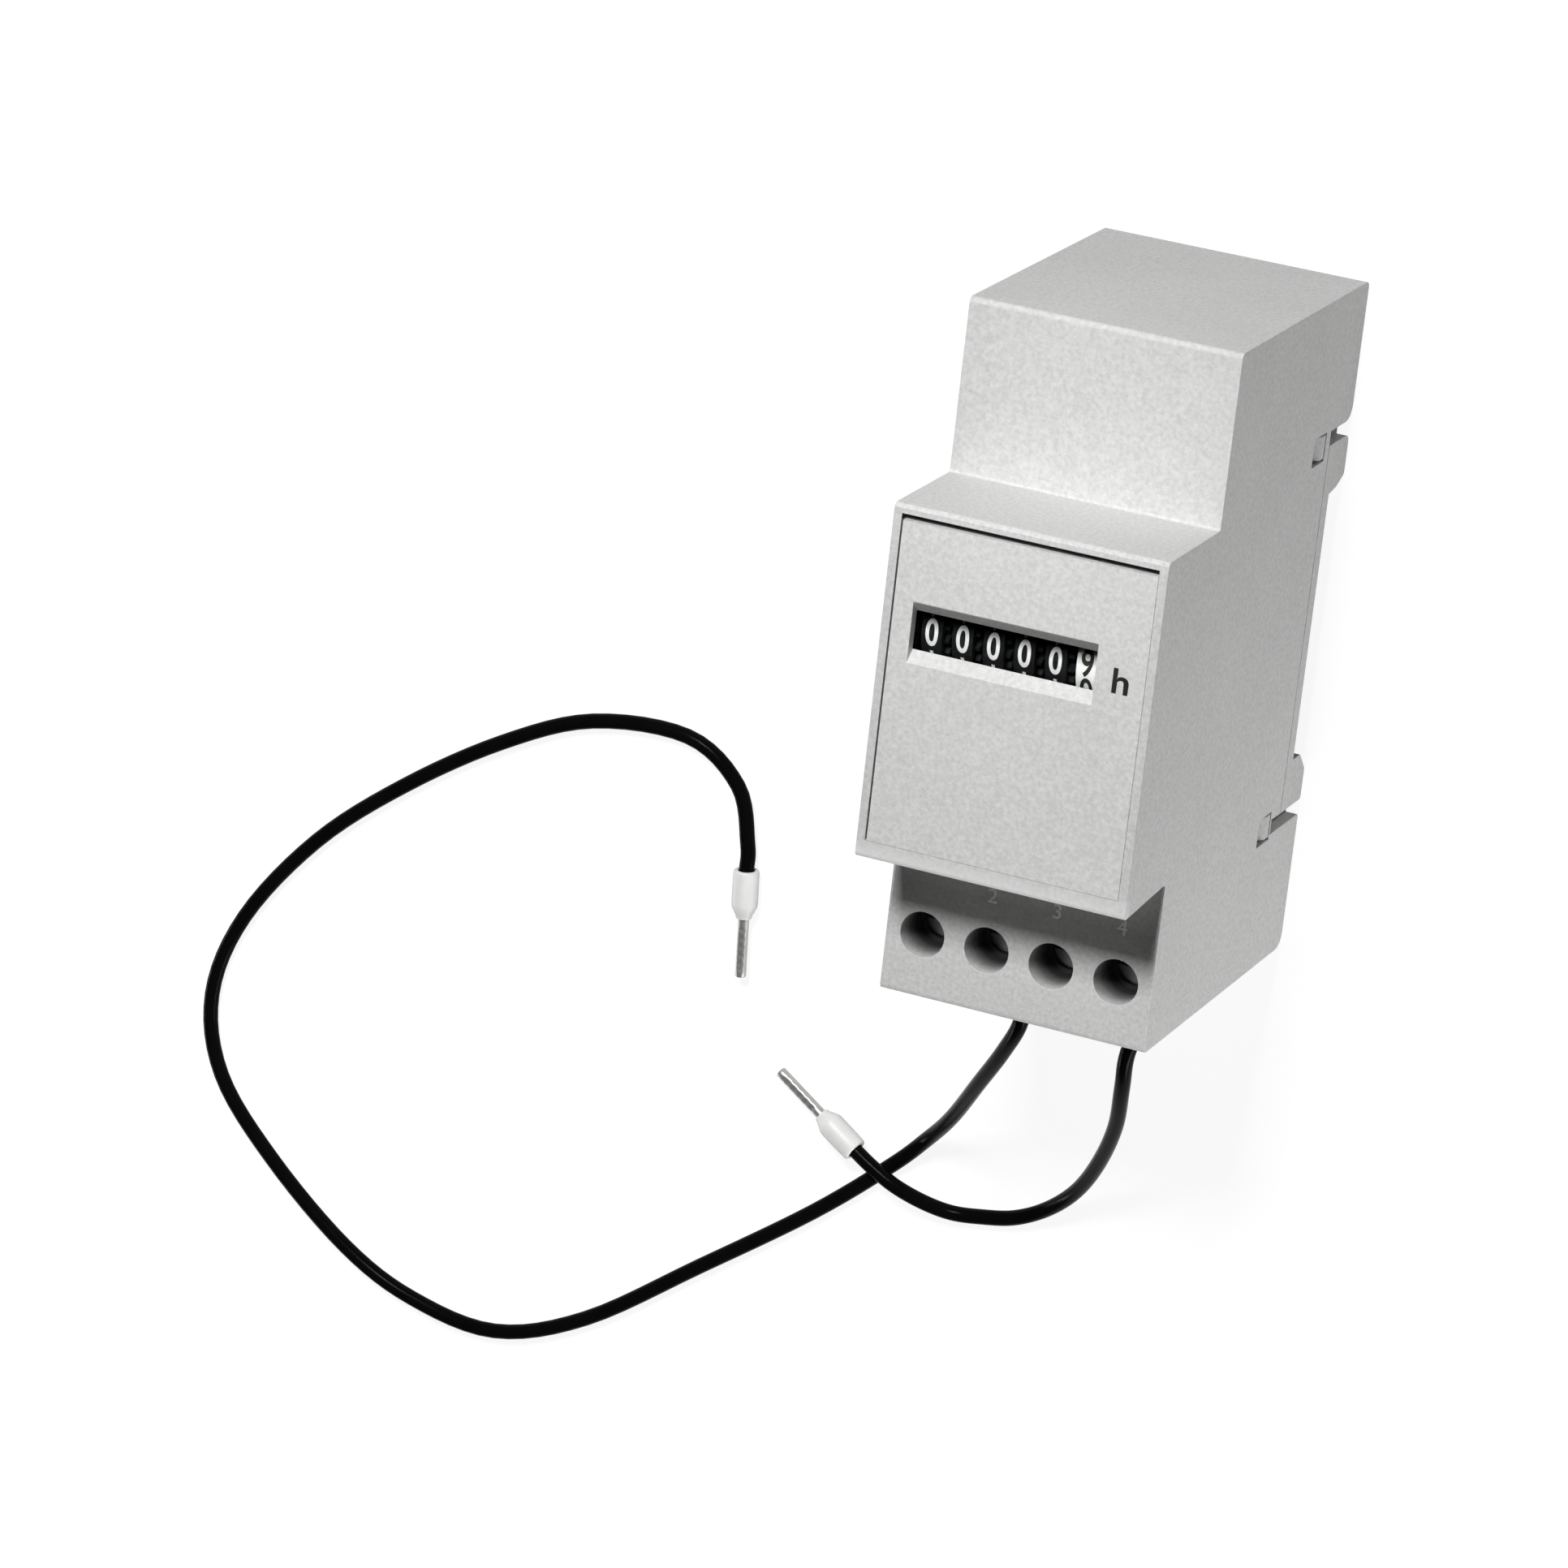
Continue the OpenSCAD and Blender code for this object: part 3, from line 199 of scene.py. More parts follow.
class CounterSizes(bpy.types.PropertyGroup):
    """Sizes of the details that this file adds to the solids."""

    edge_radius: length("Edge radius", "Rounding of the moulded edges", 0.3 * MM)
    digit_height: length("Digit height", "Height of the digits on the wheels", 3.6 * MM)
    digit_width: length("Digit width", "Width of the digits on the wheels", 2.0 * MM)
    digit_weight: length("Digit weight", "How far a digit's outline is swollen", 0.09 * MM)
    print_height: length("Print height", "How far a print stands above its surface", 0.02 * MM)
    unit_height: length("Unit letter height", "Height of the letter at the window", 3.3 * MM)
    numeral_height: length("Numeral height", "Height of the numerals over the wells", 2.0 * MM)
    lead_diameter: length("Lead diameter", "Outside diameter of a lead", 2.1 * MM)


class CounterColours(bpy.types.PropertyGroup):
    """Colours of the finishes."""

    housing: colour("Housing", "Moulded cover, base and latch", (0.64, 0.64, 0.635))
    # Paler than the housing: painted light that lifts the plate to the tone of the upper front,
    # which gets more bounced light
    plate: colour("Front plate", "Moulded front plate", (0.70, 0.70, 0.692))
    wheel_black: colour("Dark wheels", "Five number wheels", (0.012, 0.012, 0.013))
    wheel_white: colour("Pale wheel", "Right-hand number wheel", (0.78, 0.78, 0.74))
    print_black: colour("Dark print", "Pale wheel's digits, unit letter", (0.012, 0.012, 0.012))
    print_white: colour("Pale print", "Digits of the dark wheels", (0.72, 0.72, 0.70))
    lead: colour("Leads", "Insulation of the leads", (0.003, 0.003, 0.0033))
    collar: colour("Ferrule collars", "Plastic collars of the ferrules", (0.86, 0.86, 0.85))


class CounterStudio(bpy.types.PropertyGroup):
    """Strengths of the studio's lights."""

    key: power("Key light", "Soft light above the top end", 12.0)
    right: power("Right light", "Soft light at the lower right, for the long side", 0.95)
    left: power("Left light", "Soft light at the left, for faces turned from the key", 3.0)
    near: power("Near light", "Small light above the fold over the nose", 0.0012)
    fill: bpy.props.FloatProperty(
        name="Fill", description="Strength of the world's even light", default=0.05
    )


class Wire:
    """An output socket of a node. Arithmetic on it adds Math nodes to its tree."""

    def __init__(self, net, socket):
        self.net = net
        self.socket = socket

    def maths(self, operation, *values):
        """The output of a Math node with these inputs."""
        return self.net.node("ShaderNodeMath", {"operation": operation}, dict(enumerate(values)))

    def __add__(self, other):
        return self.maths("ADD", self, other)

    def __radd__(self, other):
        return self.maths("ADD", other, self)

    def __sub__(self, other):
        return self.maths("SUBTRACT", self, other)

    def __rsub__(self, other):
        return self.maths("SUBTRACT", other, self)

    def __mul__(self, other):
        return self.maths("MULTIPLY", self, other)

    def __rmul__(self, other):
        return self.maths("MULTIPLY", other, self)

    def __truediv__(self, other):
        return self.maths("DIVIDE", self, other)

    def __gt__(self, other):
        return self.maths("GREATER_THAN", self, other)

    def __lt__(self, other):
        return self.maths("LESS_THAN", self, other)

    def maximum(self, other):
        return self.maths("MAXIMUM", self, other)

    def absolute(self):
        return self.maths("ABSOLUTE", self)

    def fraction(self):
        return self.maths("FRACT", self)

    def sine(self):
        return self.maths("SINE", self)

    def cosine(self):
        return self.maths("COSINE", self)


class Net:
    """A node tree under construction."""

    def __init__(self, tree):
        self.tree = tree

    def node(self, kind, settings=None, inputs=None, output=0):
        """Adds a node, makes its settings, feeds its sockets and returns one of its outputs."""
        made = self.tree.nodes.new(kind)
        for name, value in (settings or {}).items():
            if name == "stops":
                self.set_stops(made.color_ramp, value)
            else:
                setattr(made, name, value)
        for socket, value in (inputs or {}).items():
            self.feed(made.inputs[socket], value)
        return Wire(self, made.outputs[output])

    def feed(self, socket, value):
        """Links a wire to the socket, or sets the socket to a plain value."""
        if isinstance(value, Wire):
            self.tree.links.new(value.socket, socket)
        else:
            socket.default_value = value

    def vector(self, operation, inputs):
        """A Vector Math node with these inputs."""
        return self.node("ShaderNodeVectorMath", {"operation": operation}, inputs)

    def parts(self, vector):
        """The X, Y and Z of a vector."""
        made = self.tree.nodes.new("ShaderNodeSeparateXYZ")
        self.feed(made.inputs[0], vector)
        return [Wire(self, socket) for socket in made.outputs]

    @staticmethod
    def set_stops(ramp, stops):
        """Gives a colour ramp these stops of position and grey shade."""
        while len(ramp.elements) < len(stops):
            ramp.elements.new(1.0)
        for element, (position, shade) in zip(ramp.elements, stops):
            element.position = position
            element.color = (shade, shade, shade, 1)


class Finish(Net):
    """A material built around its Principled shader, with patterns in object space."""

    def __init__(self, name, base, roughness, **constants):
        self.material = bpy.data.materials.new(name)
        self.material.use_nodes = True
        self.material.diffuse_color = (*base, 1)
        super().__init__(self.material.node_tree)
        self.shader = self.tree.nodes["Principled BSDF"]
        self.out = self.tree.nodes["Material Output"]
        self.base = base
        self.place = self.node("ShaderNodeTexCoord", output="Object")
        self.set({"Base Color": (*base, 1), "Roughness": roughness, **constants})

    def set(self, values):
        """Feeds these sockets of the Principled shader."""
        for socket, value in values.items():
            self.feed(self.shader.inputs[socket], value)

    def noise(self, size, detail, stretch=(1, 1, 1), rough=0.5):
        """Noise from 0 to 1 with features of that size in metres, stretched along the axes."""
        place = self.vector("MULTIPLY", {0: self.place, 1: tuple(1 / s for s in stretch)})
        return self.node(
            "ShaderNodeTexNoise",
            None,
            {"Vector": place, "Scale": 1 / size, "Detail": detail, "Roughness": rough},
        )

    def blend(self, mask, under, over):
        """A colour: under where mask is 0 and over where it is 1."""
        return self.node(
            "ShaderNodeMix",
            {"data_type": "RGBA"},
            {"Factor": mask, 6: under, 7: over},
            output=2,
        )

    def tint(self, mask, low, high):
        """The base colour times low where mask is 0 and times high where it is 1."""
        return self.blend(mask, scaled(self.base, low), scaled(self.base, high))

    def ramp(self, mask, *stops):
        """A grey from the mask by stops of position and shade."""
        return self.node("ShaderNodeValToRGB", {"stops": stops}, {"Fac": mask})

    def relief(self, height, depth):
        """Bump of that depth in metres from a height of 0 to 1."""
        bump = self.node("ShaderNodeBump", None, {"Height": height, "Distance": depth})
        self.set({"Normal": bump})


def scaled(base, share):
    """A colour with alpha that is the base times that share, at most 1."""
    return (*(min(1, c * share) for c in base), 1)


def painted_shade_mask(finish):
    """A mask of painted shade: 1 deep in the screw wells and in the groove over the plate.

    It also holds a painted shadow on the terminal step under the nose.
    """
    x, y, z = finish.parts(finish.place)
    screw = middle("terminal_screw_1")
    pitch = terminal_x(2) - terminal_x(1)
    beside = (((x - screw.x) / pitch + 0.5).fraction() - 0.5) * pitch
    along = y - screw.y
    in_well = WELL_RADIUS**2 * WELL_MARGIN > beside * beside + along * along
    in_well = in_well * finish.ramp((STEP_FACE - z) / WELL_DEPTH, *WELL_STOPS)
    low, high = PLATE
    in_groove = (y > high.y - GROOVE_BELOW) * (high.y + GROOVE_ABOVE > y)
    in_groove = in_groove * (z > low.z - GROOVE_DEPTH) * (high.z - GROOVE_SUNK > z)
    in_groove = in_groove * (high.x + GROOVE_BESIDE > x.absolute())
    on_step = (STEP_FACE + STEP_BAND > z) * (z > STEP_FACE - STEP_BAND) * (low.y > y)
    on_step = on_step * (STEP_HALF_WIDTH > x.absolute())
    on_step = on_step * finish.ramp((low.y - LIP - y) / STEP_REACH, *STEP_STOPS)
    return in_well.maximum(in_groove).maximum(on_step)


def painted_lip_light(finish):
    """A mask of painted light over the cover: the lip under the front plate, paler towards its
    edge.
    """
    _, y, z = finish.parts(finish.place)
    low, high = PLATE
    on_lip = (low.y > y) * (z > high.z - LIP_RADIUS)
    return on_lip * ((low.y - y) * LIP_LIGHT_RISE / (LIP - LIP_DROP.y) + LIP_LIGHT_LEAST)


def moulded(name, base, roughness=0.55, grain=0.16 * MM, depth=0.012 * MM, painted_light_and_shade=False):
    """Dull moulded plastic with a fine eroded grain, faint flow shades and a few dust specks.

    With painted light and shade, the lip under the plate is painted paler, and the screw wells,
    the groove over the plate and the step under the nose are painted darker.
    """
    finish = Finish(name, base, roughness, **{"Specular IOR Level": 0.22})
    grain_height = finish.noise(grain, detail=3, rough=0.6)
    flow = finish.noise(14 * MM, detail=2)
    mottle = finish.noise(0.55 * MM, detail=3, rough=0.6)
    specks = finish.ramp(finish.noise(0.5 * MM, detail=1), (0.0, 0), (0.735, 0), (0.76, 1))
    shade = finish.tint(flow * 0.15 + mottle * 0.85, 0.66, 1.34)
    dust_and_painted_light = finish.blend(specks * 0.22, shade, scaled(base, 0.45))
    # Painted light on the lip, and painted shade in the wells, the groove and under the nose
    if painted_light_and_shade:
        dust_and_painted_light = finish.blend(painted_lip_light(finish), dust_and_painted_light, (*LIP_LIGHT_COLOUR, 1))
        dust_and_painted_light = finish.blend(painted_shade_mask(finish), dust_and_painted_light, scaled(base, PAINTED_SHADE_LEVEL))
    finish.set({"Base Color": dust_and_painted_light, "Roughness": roughness - 0.06 + 0.12 * grain_height})
    finish.relief(grain_height, depth)
    return finish.material


def gloss_plastic(name, base, roughness, **constants):
    """Smooth glossy plastic with slight unevenness and fine scratches."""
    finish = Finish(name, base, roughness, **constants)
    wave = finish.noise(2.5 * MM, detail=2)
    scuff = finish.noise(0.35 * MM, detail=2, stretch=(1, 6, 1))
    finish.set(
        {
            "Base Color": finish.tint(wave, 0.93, 1.07),
            "Roughness": roughness - 0.05 + 0.14 * scuff,
        }
    )
    finish.relief(wave, 0.01 * MM)
    return finish.material


def metal(name, base, roughness, stretch=(1, 1, 1), metallic=1.0):
    """Bare or plated metal with lines along the stretched axis and darker handling marks."""
    finish = Finish(name, base, roughness, Metallic=metallic)
    lines = finish.noise(0.25 * MM, detail=3, stretch=stretch)
    marks = finish.noise(3 * MM, detail=3)
    finish.set(
        {
            "Base Color": finish.tint(marks, 0.82, 1.06),
            "Roughness": roughness - 0.08 + 0.18 * lines,
        }
    )
    finish.relief(lines, 0.004 * MM)
    return finish.material


def laminate(name, base):
    """Circuit board under solder mask: a fine glass weave, with tracks that show through."""
    finish = Finish(name, base, 0.32)
    warp, weft = (
        finish.node(
            "ShaderNodeTexWave",
            {"wave_type": "BANDS", "bands_direction": axis},
            {"Vector": finish.place, "Scale": WEAVE_SCALE, "Distortion": 0.6},
        )
        for axis in "XY"
    )
    cells = finish.node(
        "ShaderNodeTexVoronoi",
        {"feature": "DISTANCE_TO_EDGE", "distance": "EUCLIDEAN"},
        {"Vector": finish.place, "Scale": TRACK_SCALE, "Randomness": 0.35},
    )
    tracks = finish.ramp(cells, (0.0, 1), (0.10, 1), (0.13, 0))
    threads = warp * 0.5 + weft * 0.5
    shade = finish.tint(threads, 0.88, 1.1)
    finish.set({"Base Color": finish.blend(tracks * 0.55, shade, scaled(base, 2.1))})
    finish.relief(tracks * 0.7 + threads * 0.3, 0.012 * MM)
    return finish.material


def ink(name, base):
    """Flat printed ink with thin spots."""
    finish = Finish(name, base, 0.6)
    thin = finish.noise(0.12 * MM, detail=2)
    finish.set({"Base Color": finish.tint(thin, 0.86, 1.1), "Roughness": 0.5 + 0.2 * thin})
    finish.relief(thin, 0.004 * MM)
    return finish.material


def insulation(name, base):
    """Soft black insulation: a slight sheen, fine drawing lines and dull rubbed places."""
    finish = Finish(name, base, 0.18, **{"Specular IOR Level": 0.018})
    rubbed = finish.noise(5 * MM, detail=3)
    skin = finish.noise(0.22 * MM, detail=2)
    finish.set(
        {
            "Base Color": finish.tint(rubbed, 0.75, 1.6),
            "Roughness": 0.08 + 0.14 * rubbed + 0.06 * skin,
        }
    )
    finish.relief(skin, 0.008 * MM)
    return finish.material


def clear_pane(name):
    """A clear moulded pane with a painted shadow along its upper edge; it lets the lamps' light
    through.
    """
    # A low index and a dark gloss keep a lamp's mirror image from hiding the digits
    calm = {"Transmission Weight": 1.0, "IOR": 1.12, "Specular Tint": (0.03, 0.03, 0.03, 1)}
    finish = Finish(name, (0.97, 0.98, 0.98), 0.03, **calm)
    _, y, _ = finish.parts(finish.place)
    low, high = LENS
    # Painted shadow: the pane's colour darkens towards its upper edge, as shade over the tops of
    # the digits
    shade = finish.ramp(
        (y - low.y) / (high.y - low.y), (0.0, 1), (0.5, 1), (0.68, 0.3), (1.0, 0.15)
    )
    haze = finish.noise(1.2 * MM, detail=2)
    finish.set(
        {
            "Base Color": finish.blend(shade, (0, 0, 0, 1), (*finish.base, 1)),
            "Roughness": 0.01 + 0.03 * haze,
        }
    )
    finish.relief(finish.noise(4 * MM, detail=1), 0.004 * MM)
    open_way = finish.node("ShaderNodeBsdfTransparent", None, {"Color": (0.93, 0.94, 0.94, 1)})
    lamp_ray = finish.node("ShaderNodeLightPath", output="Is Shadow Ray")
    mixed = finish.node(
        "ShaderNodeMixShader",
        None,
        {0: lamp_ray, 1: Wire(finish, finish.shader.outputs[0]), 2: open_way},
    )
    finish.feed(finish.out.inputs["Surface"], mixed)
    return finish.material


FINISHES = {}


def make_finishes(colours):
    """Makes every material once and keeps them by the record's slot names."""
    housing, plate = tuple(colours.housing), tuple(colours.plate)
    # Dull enough that the key light's image doesn't hide the digits
    dull = {"Specular IOR Level": 0.06}
    FINISHES.update(
        housing_grey=moulded("housing_grey_moulding", housing, painted_light_and_shade=True),
        base_grey=moulded("base_grey_moulding", tuple(c * 0.985 for c in housing)),
        plate_grey=moulded("plate_grey_moulding", plate, 0.5, 0.13 * MM, 0.008 * MM),
        # Near black: painted shade that makes the bottoms of the screw wells read dark
        insert_grey=moulded("insert_grey_moulding", (0.05, 0.05, 0.052)),
        frame_black=moulded("frame_black_moulding", (0.018, 0.018, 0.019), 0.5),
        clear_pane=clear_pane("clear_pane"),
        steel=metal("bright_steel", (0.62, 0.62, 0.63), 0.28, (8, 1, 1)),
        can_steel=metal("drawn_steel_can", (0.58, 0.58, 0.57), 0.34, (1, 1, 8)),
        brass=metal("cut_brass", (0.80, 0.60, 0.28), 0.32, (6, 1, 1)),
        wheel_white=gloss_plastic("pale_wheel_plastic", tuple(colours.wheel_white), 0.4, **dull),
        wheel_black=gloss_plastic("dark_wheel_plastic", tuple(colours.wheel_black), 0.38, **dull),
        gear_white=gloss_plastic("natural_acetal", (0.80, 0.79, 0.74), 0.42),
        board_green=laminate("solder_mask_board", (0.016, 0.085, 0.035)),
        film_yellow=gloss_plastic("yellow_film_case", (0.72, 0.42, 0.07), 0.35),
        sleeve_blue=gloss_plastic("capacitor_sleeve", (0.018, 0.035, 0.12), 0.3),
        chip_black=moulded("chip_epoxy", (0.014, 0.014, 0.015), 0.55, 0.1 * MM),
        crystal_can=metal("crystal_can", (0.70, 0.70, 0.69), 0.2),
        resistor_blue=gloss_plastic("resistor_coating", (0.16, 0.34, 0.42), 0.4),
        tinned=metal("tinned_bar", (0.72, 0.72, 0.70), 0.36, (1, 5, 1)),
        screw_steel=metal("zinc_plated_screw", (0.60, 0.61, 0.62), 0.33, (1, 1, 6)),
        lead_black=insulation("lead_insulation", tuple(colours.lead)),
        collar_white=gloss_plastic("ferrule_collar_plastic", tuple(colours.collar), 0.42),
        copper=metal("bare_copper", (0.80, 0.42, 0.26), 0.35),
        sleeve_tin=metal("tinned_sleeve", (0.50, 0.50, 0.49), 0.42, metallic=0.7),
        print_black=ink("dark_print", tuple(colours.print_black)),
        print_white=ink("pale_print", tuple(colours.print_white)),
    )


def link(name, data):
    """A new object in the scene, at the origin, that shows this data."""
    piece = bpy.data.objects.new(name, data)
    bpy.context.scene.collection.objects.link(piece)
    return piece


def middle(node):
    """The middle of a CAD node's box."""
    low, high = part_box(node)
    return (low + high) / 2


def smooth(piece, angle=SMOOTH_ANGLE):
    """Smooth shading with sharp edges past that angle."""
    piece.data.shade_smooth()
    piece.data.set_sharp_from_angle(angle=angle)


def stand_in(piece, body, slot, node):
    """Gives a finished piece its finish, rides it on its body and lets it stand for the node."""
    piece.data.materials.clear()
    piece.data.materials.append(FINISHES[slot])
    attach(piece, body)
    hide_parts(node)


def baked(piece, name):
    """The mesh piece with its modifiers applied, under that name."""
    bpy.context.view_layer.update()
    graph = bpy.context.evaluated_depsgraph_get()
    mesh = bpy.data.meshes.new_from_object(piece.evaluated_get(graph), depsgraph=graph)
    mesh.name = name
    old = piece.data
    piece.modifiers.clear()
    piece.data = mesh
    piece.name = name
    bpy.data.meshes.remove(old)
    return piece


def from_tree(name, tree, **values):
    """One plain mesh object that the node group makes with these inputs."""
    piece = link(name, bpy.data.meshes.new(name))
    modifier = piece.modifiers.new(name, "NODES")
    modifier.node_group = tree
    sockets = {s.name: s.identifier for s in tree.interface.items_tree if s.in_out == "INPUT"}
    for key, value in values.items():
        modifier[sockets[key.replace("_", " ")]] = value
    return baked(piece, name)


def welded_copy(node):
    """A mesh copy of a CAD node, with its loose triangles merged into flat faces."""
    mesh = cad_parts[node].data.copy()
    form = bmesh.new()
    form.from_mesh(mesh)
    bmesh.ops.remove_doubles(form, verts=form.verts, dist=WELD)
    bmesh.ops.dissolve_limit(form, angle_limit=FLAT_ANGLE, verts=form.verts, edges=form.edges)
    form.to_mesh(mesh)
    form.free()
    return mesh


def beside_plate(point):
    """True for a point in the gap round the front plate, within the plate's thickness."""
    low, high = PLATE
    reach = GAP_REACH
    in_depth = point.z > low.z - reach
    in_x = min(abs(point.x - low.x), abs(point.x - high.x)) < reach
    in_y = min(abs(point.y - low.y), abs(point.y - high.y)) < reach
    within_x = low.x - reach < point.x < high.x + reach
    within_y = low.y - reach < point.y < high.y + reach
    return in_depth and within_x and within_y and (in_x or in_y)


def cover_fit(point):
    """Where a point of the cover lies in its copy, which follows the photograph more closely.

    The lip under the plate is sharper and lower, and the groove over the plate lies lower.
    """
    nose_y = PLATE[0].y - LIP
    groove_y = PLATE[1].y + PLATE_TOP_GAP
    if point.z > PLATE[0].z - SLACK and abs(point.y - groove_y) < SLACK:
        return point + GROOVE_DROP
    on_lip = nose_y - SLACK < point.y < nose_y + LIP_RADIUS + SLACK
    if on_lip and point.z > PLATE_FACE - LIP_RADIUS - SLACK:
        corner = Vector((point.x, nose_y, PLATE_FACE))
        return (corner + point) / 2 + LIP_DROP
    return Vector(point)


def plate_fit(point):
    """Where a point of the front plate lies in its copy: lower at its upper edge."""
    if point.y > PLATE[1].y - SLACK:
        point = point + GROOVE_DROP + GROOVE_WIDTH
    return point + PLATE_REST


def rounded_copy(node, radius, fit):
    """A copy of a CAD node with its points moved by fit and its sharp straight edges rounded.

    Edges beside the gap round the front plate stay sharp.
    """
    piece = link("rounded_" + node, welded_copy(node))
    form = bmesh.new()
    form.from_mesh(piece.data)
    weight = form.edges.layers.float.new("bevel_weight_edge")
    for edge in form.edges:
        sharp = len(edge.link_faces) == 2 and edge.calc_face_angle(0) > SHARP_ANGLE
        if sharp and not all(beside_plate(vert.co) for vert in edge.verts):
            edge[weight] = 1.0
    for vert in form.verts:
        vert.co = fit(vert.co)
    form.to_mesh(piece.data)
    form.free()
    bevel = piece.modifiers.new("Edges", "BEVEL")
    bevel.width = radius
    bevel.segments = 3
    bevel.limit_method = "WEIGHT"
    bevel.use_clamp_overlap = True
    bevel.miter_outer = "MITER_SHARP"
    piece = baked(piece, "finished_" + node)
    smooth(piece)
    weighted = piece.modifiers.new("Flat faces", "WEIGHTED_NORMAL")
    weighted.weight = 100
    weighted.keep_sharp = True
    return baked(piece, "finished_" + node)


def node_group(name, **inputs):
    """The net of a new geometry node group, and its inputs as wires by name."""
    tree = bpy.data.node_groups.new(name, "GeometryNodeTree")
    for label, kind in inputs.items():
        tree.interface.new_socket(
            label.replace("_", " "), in_out="INPUT", socket_type="NodeSocket" + kind
        )
    tree.interface.new_socket("Geometry", in_out="OUTPUT", socket_type="NodeSocketGeometry")
    net = Net(tree)
    entry = tree.nodes.new("NodeGroupInput")
    return net, {s.name: Wire(net, s) for s in entry.outputs if s.name}


def joined(net, *pieces):
    """The geometries as one."""
    join = net.tree.nodes.new("GeometryNodeJoinGeometry")
    for piece in pieces:
        net.feed(join.inputs[0], piece)
    return Wire(net, join.outputs[0])


def given_out(net, geometry, material):
    """The net's tree, which gives out the geometry in that material."""
    painted = net.node(
        "GeometryNodeSetMaterial", None, {"Geometry": geometry, "Material": material}
    )
    leave = net.tree.nodes.new("NodeGroupOutput")
    net.feed(leave.inputs[0], painted)
    return net.tree


def lettering_tree():
    """A node group: a row of characters, stood on a flat face or wrapped round a wheel."""
    net, given = node_group(
        "Printed characters",
        String="String",
        Size="Float",
        Width="Float",
        Step="Vector",
        Thickness="Float",
        Origin="Vector",
        Turn="Float",
        Weight="Float",
        Radius="Float",
        Material="Material",
    )
    text = net.tree.nodes.new("GeometryNodeStringToCurves")
    text.pivot_mode = "MIDPOINT"
    net.feed(text.inputs["String"], given["String"])
    net.feed(text.inputs["Size"], given["Size"])
    signs, pivot = (Wire(net, text.outputs[n]) for n in ("Curve Instances", "Pivot Point"))
    count = net.node("GeometryNodeInputIndex")
    shift = net.vector("SCALE", {0: given["Step"], "Scale": count})
    centred = net.vector("SUBTRACT", {0: shift, 1: pivot})
    placed = net.node("GeometryNodeSetPosition", None, {"Geometry": signs, "Position": centred})
    real = net.node("GeometryNodeRealizeInstances", None, {"Geometry": placed})
    outline = net.node("GeometryNodeResampleCurve", {"mode": "EVALUATED"}, {"Curve": real})
    tangent = net.node("GeometryNodeInputTangent")
    outward = net.vector("CROSS_PRODUCT", {0: tangent, 1: (0, 0, 1)})
    swell = net.vector("SCALE", {0: outward, "Scale": given["Weight"]})
    bold = net.node("GeometryNodeSetPosition", None, {"Geometry": outline, "Offset": swell})
    filled = net.node("GeometryNodeFillCurve", {"mode": "TRIANGLES"}, {"Curve": bold})
    fine = net.node("GeometryNodeSubdivideMesh", None, {"Mesh": filled, "Level": 2})
    raised = net.node(
        "GeometryNodeExtrudeMesh",
        {"mode": "FACES"},
        {
            "Mesh": fine,
            "Offset": (0, 0, 1),
            "Offset Scale": given["Thickness"],
            "Individual": False,
        },
    )
    under = net.node("GeometryNodeFlipFaces", None, {"Mesh": fine})
    solid = net.node(
        "GeometryNodeMergeByDistance",
        None,
        {"Geometry": joined(net, raised, under), "Distance": PRINT_MERGE},
    )
    across, along, above = net.parts(net.node("GeometryNodeInputPosition"))
    angle = along / given["Radius"] + given["Turn"]
    reach = given["Radius"] + above
    wrapped = net.node(
        "ShaderNodeCombineXYZ",
        None,
        {0: across * given["Width"], 1: reach * angle.sine(), 2: reach * angle.cosine()},
    )
    where = net.vector("ADD", {0: wrapped, 1: given["Origin"]})
    moved = net.node("GeometryNodeSetPosition", None, {"Geometry": solid, "Position": where})
    return given_out(net, moved, given["Material"])


def characters(name, **values):
    """One mesh object from the lettering tree with these inputs."""
    tree = bpy.data.node_groups.get("Printed characters") or lettering_tree()
    return from_tree(name, tree, **values)


def wheel_radius(k):
    """The radius of a number wheel."""
    low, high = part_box("number_wheel_%d" % k)
    return (high.z - low.z) / 2


def rim_middle(k):
    """The middle of a wheel's rim in X: the widest band of its vertices at full radius."""
    name = "number_wheel_%d" % k
    axis = middle(name)
    reach = wheel_radius(k) - RIM_DEPTH
    outer = [
        v.co.x
        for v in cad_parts[name].data.vertices
        if math.hypot(v.co.y - axis.y, v.co.z - axis.z) > reach
    ]
    return (min(outer) + max(outer)) / 2


